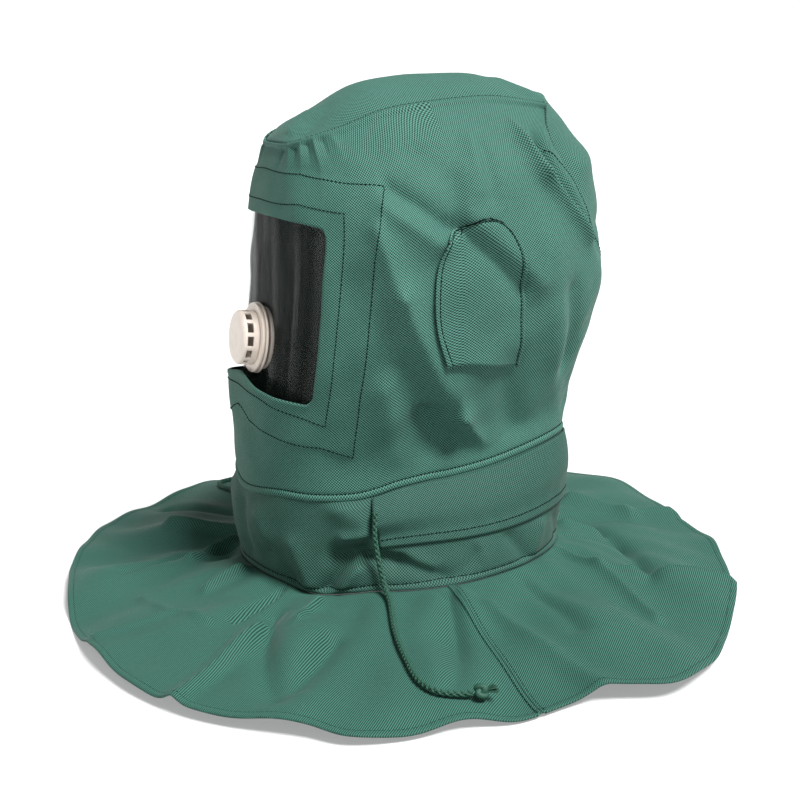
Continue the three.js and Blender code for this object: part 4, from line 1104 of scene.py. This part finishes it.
strip_alongs = np.concatenate([np.linspace(0, 0.014, 6, endpoint=False), np.linspace(0.014, 1.0, 230)])
side_acrosses = np.concatenate([np.linspace(0.0, 0.94, 22, endpoint=False), np.linspace(0.94, 1.0, 7)])
strip_acrosses = np.concatenate([side_acrosses[:0:-1], -side_acrosses])
strip_grid = np.meshgrid(strip_alongs, strip_acrosses)
strip_points = strip(*strip_grid)
strip_middle = smooth_strip(strip_alongs, 0.0)
strip_travelled = np.concatenate([[0.0], np.cumsum(np.linalg.norm(np.diff(strip_middle, axis=0), axis=1))])
strip_widths = smooth_strip(*strip_grid)[..., 0]
strip_uv = np.stack([strip_widths, np.broadcast_to(strip_travelled, strip_widths.shape)], -1) * 0.001
crown_strip = cloth_piece("crown_strip_cloth", strip_points, strip_uv, hood_finishes)
as_sheet(crown_strip, "crown_strip")
hem_marks = [(0.0105, across) for across in np.linspace(0.95, -0.95, 30)]
crown_lines = [on_surface(strip, hem_marks, -0.2, 3)]
# The rows along both crown seams and beside the rear seams are stitching in dark thread, laid close to the
# seam so that their dark line also paints the seam's shadow.
seam_alongs = np.linspace(0.02, 0.97, 160)
seam_insets = 1 - SEAM_LINE / strip_seam(seam_alongs)[:, 0]
for side in (1, -1):
    crown_lines.append(on_surface(strip, np.stack([seam_alongs, side * seam_insets], -1), 0.0, 3))
    stitch_run = side * (1 - REAR_STITCH / RUN_LENGTH)
    beside_rear = [(stitch_run, height) for height in np.linspace(0.06, 0.96, 90)]
    crown_lines.append(on_surface(panel, beside_rear, 0.0, 3))
crown_lines.append(on_surface(panel, REAR_DART, 0.1, 8))
stitched("crown_stitching", crown_lines, length=2.95, radius=0.5)


# Ear flaps
# Arch-shaped patches of the hood cloth over the ears, stitched on their arch; the straight lower edge
# is left open and gapes a little, so that sound gets in.
FLAP_OFF = 2.0
FLAP_GAPE = 2.5
FLAP_PILLOW = 0.6
FLAP_RIM = 1.0
FLAP_RIM_WIDTH = 3.2
FLAP_STITCH = 3.8
FLAP_WIDTH = 70.0
FLAP_HEIGHT = 103.0
FLAP_FRONT_EDGE = {
    "way": (0.0, 0.25, 0.45, 0.68, 0.85, 1.0),
    "run": (0.485, 0.469, 0.466, 0.476, 0.497, 0.537),
    "height": (0.34, 0.444, 0.53, 0.638, 0.688, 0.704),
}
FLAP_REAR_EDGE = {
    "way": (0.0, 0.3, 0.55, 0.78, 0.9, 1.0),
    "run": (0.625, 0.609, 0.603, 0.588, 0.568, 0.537),
    "height": (0.286, 0.422, 0.546, 0.645, 0.685, 0.704),
}


def ear_flap(name, node, side):
    def place(across, way):
        share = (1 + side * across) / 2
        places = []
        for column in ("run", "height"):
            front, rear = (reading(edge, "way", column, way) for edge in (FLAP_FRONT_EDGE, FLAP_REAR_EDGE))
            places.append(front * (1 - share) + rear * share)
        return places

    def surface(across, way, off=0.0):
        run, height = place(across, way)
        gape = FLAP_GAPE * (1 - across ** 2) * np.clip(1 - way / 0.3, 0, 1) ** 2
        pillow = FLAP_PILLOW * (1 - np.abs(across) ** 6) * eased((1 - way) / 0.12)
        to_edge = np.minimum((1 - np.abs(across)) * FLAP_WIDTH / 2, (1 - way) * FLAP_HEIGHT + 0.6)
        rim = FLAP_RIM * eased((FLAP_RIM_WIDTH - to_edge) / 1.2)
        out = FLAP_OFF + off + gape + pillow + rim
        return panel(side * run, height) + outward(panel, side * run, height, 0.006) * out[..., None]

    grid_acrosses = np.sin(np.linspace(-math.pi / 2, math.pi / 2, 65))
    grid_ways = np.sin(np.linspace(0, 0.97 * math.pi / 2, 61))
    grid = np.meshgrid(grid_acrosses, grid_ways, indexing="ij")
    points = surface(*grid)
    run, height = place(*grid)
    uv = np.stack([side * run * RUN_LENGTH, height * HEIGHT_LENGTH], -1) * 0.001
    flap = cloth_piece(name, points, uv, hood_finishes)
    as_sheet(flap, node)
    ways = np.linspace(0.02, 0.955, 60)
    inset = np.full(60, 1 - FLAP_STITCH / (FLAP_WIDTH / 2))
    acrosses = np.concatenate([-inset, np.linspace(-inset[0], inset[0], 24), inset[::-1]])
    heights = np.concatenate([ways, np.full(24, ways[-1]), ways[::-1]])
    stitched(name + "_stitching", [surface(acrosses, heights, 0.1)], length=2.95, radius=0.5)


ear_flap("ear_flap_left_cloth", "ear_flap_left", 1)
ear_flap("ear_flap_right_cloth", "ear_flap_right", -1)


# Neck band
# A straight band of the hood cloth between the head and the cape. Its lower edge is folded under and
# topstitched to the cape, and the drawn cord makes it bulge in front of the casing.
CAPE_SEAM_HALF_WIDTH = 114.0
CAPE_SEAM_HALF_DEPTH = 125.0
BAND_HEIGHT = 68.0
BAND_DEGREE = 2.0
BAND_SWELL = 5
BAND_FOLDS = (
    # angle0, drop0, angle1, drop1, width, rise, sharp
    (46, 0.1, 57, 0.3, 11, 6.5, 0.1), (48, 0.42, 58, 0.4, 5, 5.0, 0.6), (46, 0.62, 55, 0.58, 8, -9.0, 0.2),
    (43, 0.95, 49, 0.68, 5, -6.0, 0.3), (49, 0.96, 54, 0.76, 5, 4.5, 0.6),
    (56, 0.6, 67, 0.72, 7, -6.5, 0.2),
    (69, 0.72, 84, 0.92, 6, -3.4, 0.4), (66, 0.6, 80, 0.8, 5, 3.0, 0.5), (98, 0.62, 99, 0.78, 6, 2.0, 0.5),
    (90, 0.92, 97, 0.74, 6, -2.4, 0.4), (30, 0.55, 37, 0.95, 8, 4.0, 0.4), (14, 0.3, 24, 0.8, 9, 3.4, 0.4),
    (20, 0.7, 30, 0.9, 8, -4.0, 0.3), (0, 0.2, 6, 0.75, 9, -3.0, 0.2), (-20, 0.25, -28, 0.8, 9, 3.4, 0.3),
    (-46, 0.3, -40, 0.7, 9, -4.0, 0.3), (112, 0.66, 118, 0.9, 7, -3.0, 0.3),
    (128, 0.66, 122, 0.9, 7, 3.0, 0.3),
    (140, 0.68, 147, 0.92, 7, -2.6, 0.3), (-100, 0.65, -112, 0.92, 8, 3.0, 0.3),
    (158, 0.66, 166, 0.9, 8, -2.6, 0.3),
    (-150, 0.66, -158, 0.9, 8, 2.6, 0.3),
)
BAND_WAVES = ((5.0, 0.5, 1.1, 0.5), (11.0, 0.9, 2.7, 0.35), (19.0, -0.6, 0.3, 0.2))

ring_runs = np.linspace(-1, 1, 801)
ring_back = smooth_strip(np.zeros(79), np.linspace(0.975, -0.975, 79))
ring_line = np.vstack([smooth_panel(ring_runs, 0.0), ring_back])
ring_angles = np.degrees(np.arctan2(ring_line[:, 0], -ring_line[:, 1]))


def neck_ring(degrees):
    axes = [np.interp(degrees, ring_angles, ring_line[:, axis], period=360) for axis in range(3)]
    return np.stack(axes, -1)


def cape_seam(degrees):
    angle = np.radians(degrees)
    across, along = CAPE_SEAM_HALF_WIDTH * np.sin(angle), -CAPE_SEAM_HALF_DEPTH * np.cos(angle)
    return np.stack([across, along, np.full(np.shape(angle), CAPE_SEAM_HEIGHT)], -1)


def pushed_out(points, degrees, out):
    """The points moved away from the neck's axis, along the angle from the front."""
    angle = np.radians(degrees)
    points[..., 0] += np.sin(angle) * out
    points[..., 1] -= np.cos(angle) * out
    return points


def smooth_band(degrees, drop):
    degrees, drop = np.broadcast_arrays(np.asarray(degrees, float), np.asarray(drop, float))
    top = neck_ring(degrees)
    points = top + (cape_seam(degrees) - top) * drop[..., None]
    swell = BAND_SWELL * np.sin(math.pi * np.clip(drop, 0, 1)) * (0.6 + 0.4 * np.cos(3 * np.radians(degrees)))
    return pushed_out(points, degrees, swell)


def band(degrees, drop):
    degrees, drop = np.broadcast_arrays(np.asarray(degrees, float), np.asarray(drop, float))
    round_angle = (degrees + 180) % 360 - 180
    rise = fold_rise(BAND_FOLDS, round_angle, drop, BAND_DEGREE, BAND_HEIGHT)
    rise = rise + waves(BAND_WAVES, degrees / 360, drop)
    edge = eased(drop / 0.1) * eased((1 - drop) / 0.08)
    under_casing = eased((np.abs(round_angle) - 53) / 6) * eased((0.66 - drop) / 0.08)
    rise = rise * (edge * (1 - under_casing))
    roll = hem_roll((1 - drop) * BAND_HEIGHT)
    return settled(pushed_out(smooth_band(degrees, drop), degrees, rise + roll))


band_degrees = np.linspace(-180, 180, 361)
band_drops = np.concatenate([np.linspace(1, 0.92, 7, endpoint=False), np.linspace(0.92, 0, 36)])
band_grid = np.meshgrid(band_degrees, band_drops, indexing="ij")
band_points = band(*band_grid)
# The band's outer face takes the darker copy of the hood cloth, which paints the head's shade onto it.
band_painted_shade_finishes = [band_painted_shade_cloth, hood_inside_painted_shade]
band_uv = laid_flat(smooth_band(*band_grid))
neck_band = cloth_piece("neck_band_cloth", band_points, band_uv, band_painted_shade_finishes, round_grid=True)
as_sheet(neck_band, "neck_band")
band_stitch = [(degrees, 1 - (HEM_ROLL_WIDTH + 0.9) / BAND_HEIGHT) for degrees in np.linspace(-180, 180, 120)]
stitched("band_stitching", [on_surface(band, band_stitch, -0.2, 3)])


# Cord casing
# A second strip of cloth laid over the upper half of the band from one temple round the back to the
# other. Its lower edge is stitched down, and the cord runs in the tunnel it makes.
CASING_START = 56.0
CASING_SKEW = 5.0
CASING_BOTTOM = 0.56
CASING_OFF = 0.9
CASING_TUNNEL = 5.0
CASING_BACK_TUNNEL = 2.0
CASING_ROWS = {"drop": (0.04, 0.168, 0.308, 0.448, 0.56), "off": (0.0, 0.85, 1.0, 0.0, 0.0)}


def casing(share, drop):
    """Outer face of the casing; share goes from 0 at the left mouth to 1 at the right one."""
    start = CASING_START + CASING_SKEW * (drop - 0.04) / 0.52
    degrees = start + (360 - 2 * start) * share
    off = np.clip(reading(CASING_ROWS, "drop", "off", drop), 0, 1.05)
    pucker = 0.5 * np.sin(share * 190) * eased(1 - np.abs(drop - 0.45) / 0.12)
    from_mouth = np.minimum(share, 1 - share)
    tunnel = CASING_BACK_TUNNEL + (CASING_TUNNEL - CASING_BACK_TUNNEL) * np.exp(-(from_mouth / 0.07) ** 2)
    out = CLOTH + CASING_OFF + tunnel * off + pucker * 0.4
    return settled(pushed_out(smooth_band(degrees, drop), degrees, out))


casing_grid = np.meshgrid(np.linspace(0, 1, 241), np.linspace(CASING_BOTTOM, 0.03, 29), indexing="ij")
casing_points = casing(*casing_grid)
# The casing takes the same darker copy of the hood cloth: painted shade.
cord_casing = cloth_piece("cord_casing_cloth", casing_points, laid_flat(casing_points), band_painted_shade_finishes)
as_sheet(cord_casing, "cord_casing")
casing_line = casing(np.linspace(0.006, 0.994, 260), np.full(260, CASING_BOTTOM - 0.075))
away_from_axis = casing_line * (1, 1, 0) / np.linalg.norm(casing_line[:, :2], axis=1)[:, None]
stitched("casing_stitching", [casing_line + away_from_axis * 0.15])


# Cape
# Front and back halves of a thinner twill, cut wider than the seam they are gathered into and joined
# by felled shoulder seams. The rim is turned up in a narrow stitched hem, and the cape waves freely.
CAPE_SEAM_ANGLE = 86.0
CAPE_RIM_HEIGHT = 5.0
CAPE_WAVE = 10.0
CAPE_DEGREE = 3.4
CAPE_LENGTH = 155.0
CAPE_FALL = 0.85
CREASE_DEPTH = 2.5
CORD_LIES_BELOW = 36
CORD_CALM = 15.0
CAPE_HEM_START = 0.972
CAPE_HEM_RISE = 0.6
SHOULDER_WIDTH = 3.4
SHOULDER_RISE = 0.9
SHOULDER_COLUMNS = (9, 6.2, 4.4, 3.6, 2.8, 2.0, 1.1)
SHOULDER_DEGREE = 3.6
CAPE_LIGHT = srgb(62, 108, 95)
CAPE_DARK = srgb(15, 44, 37)
CAPE_RIM = {
    "angle": (
        -180, -169, -161, -153, -145, -132, -120, -105, -90, -76, -68, -58, -44, -32, -22, -12, 2,
        11, 19, 31, 41, 56,
        61, 67, 75, 82, 92, 98, 105, 115, 129, 148, 161, 171, 180,
    ),
    "radius": (
        264, 282, 296, 300, 290, 282, 280, 282, 284, 289, 281, 274, 271, 263, 260, 257, 261, 266,
        272, 283, 289, 290,
        296, 290, 276, 275, 265, 272, 288, 281, 265, 260, 261, 266, 264,
    ),
}
CAPE_FOLDS = (
    # angle, width, height, start
    (-150, 16, 1.1, 0.35), (-112, 12, 0.8, 0.3), (-72, 11, 0.7, 0.2), (-38, 9, 0.8, 0.1),
    (-12, 7, 0.6, 0.25),
    (20, 8, 0.7, 0.15), (48, 9, 0.8, 0.2), (74, 7, 0.5, 0.4), (108, 9, 0.8, 0.2), (140, 9, 0.8, 0.15),
    (168, 8, 0.7, 0.2),
)
CAPE_CREASES = (
    # angle0, out0, angle1, out1, width, rise, sharp
    (-37, 0.5, -36, 0.05, 7, 3.0, 0.5), (-12, 0.3, -29, 0.03, 7, 3.0, 0.5),
    (-11, 0.68, -20, 0.02, 6, -2.0, 0.4),
    (9, 0.3, 6, 0.02, 6, 2.5, 0.5), (2, 0.61, 27, 0.51, 5, 1.6, 0.6), (13, 0.95, 17, 0.59, 6, 2.2, 0.5),
    (37, 1.0, 37, 0.37, 6, 2.4, 0.5), (36, 0.25, 50, 0.85, 9, -3.0, 0.3),
    (54, 0.39, 52, 0.76, 8, -2.5, 0.3),
    (83, 0.1, 75, 0.82, 9, -2.5, 0.3), (28, 0.02, 30, 0.4, 4, -2.0, 0.4), (43, 0.02, 44, 0.3, 5, 2.0, 0.4),
    (-164, 0.38, -177, 0.66, 8, 3.0, 0.4), (186, 0.66, 184, 0.95, 8, 2.6, 0.4),
    (186, 0.2, 138, 0.54, 9, -3.0, 0.3),
    (135, 0.3, 144, 0.95, 8, 3.2, 0.5), (141, 0.0, 123, 0.66, 7, 2.6, 0.5),
    (93, 0.2, 96, 0.97, 8, 2.4, 0.4),
    (110, 0.05, 104, 0.5, 8, -2.0, 0.3), (-90, 0.1, -96, 0.8, 8, 2.6, 0.4),
    (-60, 0.1, -56, 0.8, 8, -2.4, 0.3),
    (-128, 0.1, -134, 0.8, 8, 2.6, 0.4), (-104, 0.02, -112, 0.4, 6, -2.0, 0.3),
    (-140, 0.02, -146, 0.4, 6, -2.4, 0.3),
    (156, 0.02, 160, 0.35, 6, -2.0, 0.3), (170, 0.02, 168, 0.3, 5, 1.8, 0.4),
)
CAPE_WAVES = ((9.0, 0.6, 0.9, 0.8), (17.0, -0.8, 2.4, 0.6), (31.0, 1.1, 4.1, 0.3), (5.0, 1.9, 5.2, 0.5))
cape_cloth = woven("cape_cloth", CAPE_DARK, CAPE_LIGHT, 0.0019, 0.65, 0.0002, 0.2)
cape_lining = woven("cape_lining", srgb(20, 50, 41), srgb(42, 78, 67), 0.0019, 0.65, 0.0002)


def wrapped(degrees):
    return (degrees + 180) % 360 - 180


def cape(degrees, out):
    degrees, out = np.broadcast_arrays(np.asarray(degrees, float), np.asarray(out, float))
    angle = np.radians(degrees)
    start = cape_seam(degrees)
    radius = reading(CAPE_RIM, "angle", "radius", wrapped(degrees))
    x = start[..., 0] + (radius * np.sin(angle) - start[..., 0]) * out
    y = start[..., 1] + (-radius * np.cos(angle) - start[..., 1]) * out
    z = CAPE_SEAM_HEIGHT + (CAPE_RIM_HEIGHT - CAPE_SEAM_HEIGHT) * np.maximum(out, 0) ** CAPE_FALL
    for place, width, height, first in CAPE_FOLDS:
        grown = np.clip((out - first) / (1 - first), 0, 1)
        bell = np.exp(-(wrapped(degrees - place) / width) ** 2)
        z = z + CAPE_WAVE * height * bell * np.sin(math.pi * grown ** 0.8 * 0.75)
    creases = np.zeros(z.shape)
    for a0, b0, a1, b1, width, rise, sharp in CAPE_CREASES:
        centre = (a0 + a1) / 2
        near = wrapped(degrees - centre)
        crease = (a0 - centre, b0, a1 - centre, b1, width, rise, sharp)
        creases += fold_rise((crease,), near, out, CAPE_DEGREE, CAPE_LENGTH)
    creases += waves(CAPE_WAVES, degrees / 360, out)
    calm = eased(out / 0.1)
    for path in (left_cord_path, right_cord_path):
        lying = path[path[:, 2] < CORD_LIES_BELOW]
        away = np.min(np.hypot(x[..., None] - lying[::6, 0], y[..., None] - lying[::6, 1]), -1)
        calm = calm * (1 - np.exp(-(away / CORD_CALM) ** 2))
    z = z + CREASE_DEPTH * creases * calm - 0.5 * (1 - eased(out / 0.03))
    hem = CAPE_HEM_RISE * eased((out - CAPE_HEM_START) / 0.008)
    shoulder = 0.0
    for seam in (-CAPE_SEAM_ANGLE, CAPE_SEAM_ANGLE):
        beside = np.radians(wrapped(degrees - seam)) * np.hypot(x, y)
        shoulder = shoulder + SHOULDER_RISE * eased((SHOULDER_WIDTH - np.abs(beside)) / 1.2)
    return settled(np.stack([x, y, z + hem + shoulder], -1))


def cape_half(name, node, first, last):
    degrees = np.linspace(first + 0.06, last - 0.06, 285)
    near_seam = -np.array(SHOULDER_COLUMNS) / SHOULDER_DEGREE
    degrees = np.unique(np.concatenate([degrees, first - near_seam, last + near_seam]))
    outs = np.concatenate([np.linspace(1, 0.94, 5, endpoint=False), np.linspace(0.94, 0.0, 62)])
    grid = np.meshgrid(degrees, outs, indexing="ij")
    points = cape(*grid)
    half = cloth_piece(name, points, points[..., :2] * 0.001, [cape_cloth, cape_lining])
    as_sheet(half, node)


cape_half("cape_front_cloth", "cape_front", -CAPE_SEAM_ANGLE, CAPE_SEAM_ANGLE)
cape_half("cape_back_cloth", "cape_back", CAPE_SEAM_ANGLE, 360 - CAPE_SEAM_ANGLE)
cape_lines = []
full_turn = np.linspace(-180, 180, 721)
stitched("cape_hem_stitching", [cape(full_turn, np.full(721, 0.968)) + (0, 0, 0.1)], radius=0.2)
outs = np.linspace(0.02, 0.985, 80)
for seam in (-CAPE_SEAM_ANGLE, CAPE_SEAM_ANGLE):
    for beside in (-2.6, 2.6):
        radii = np.hypot(*np.moveaxis(cape(np.full(80, seam), outs), -1, 0)[:2])
        cape_lines.append(cape(seam + np.degrees(beside / radii), outs) + (0, 0, 0.15))
stitched("cape_stitching", cape_lines, length=2.9, radius=0.3)
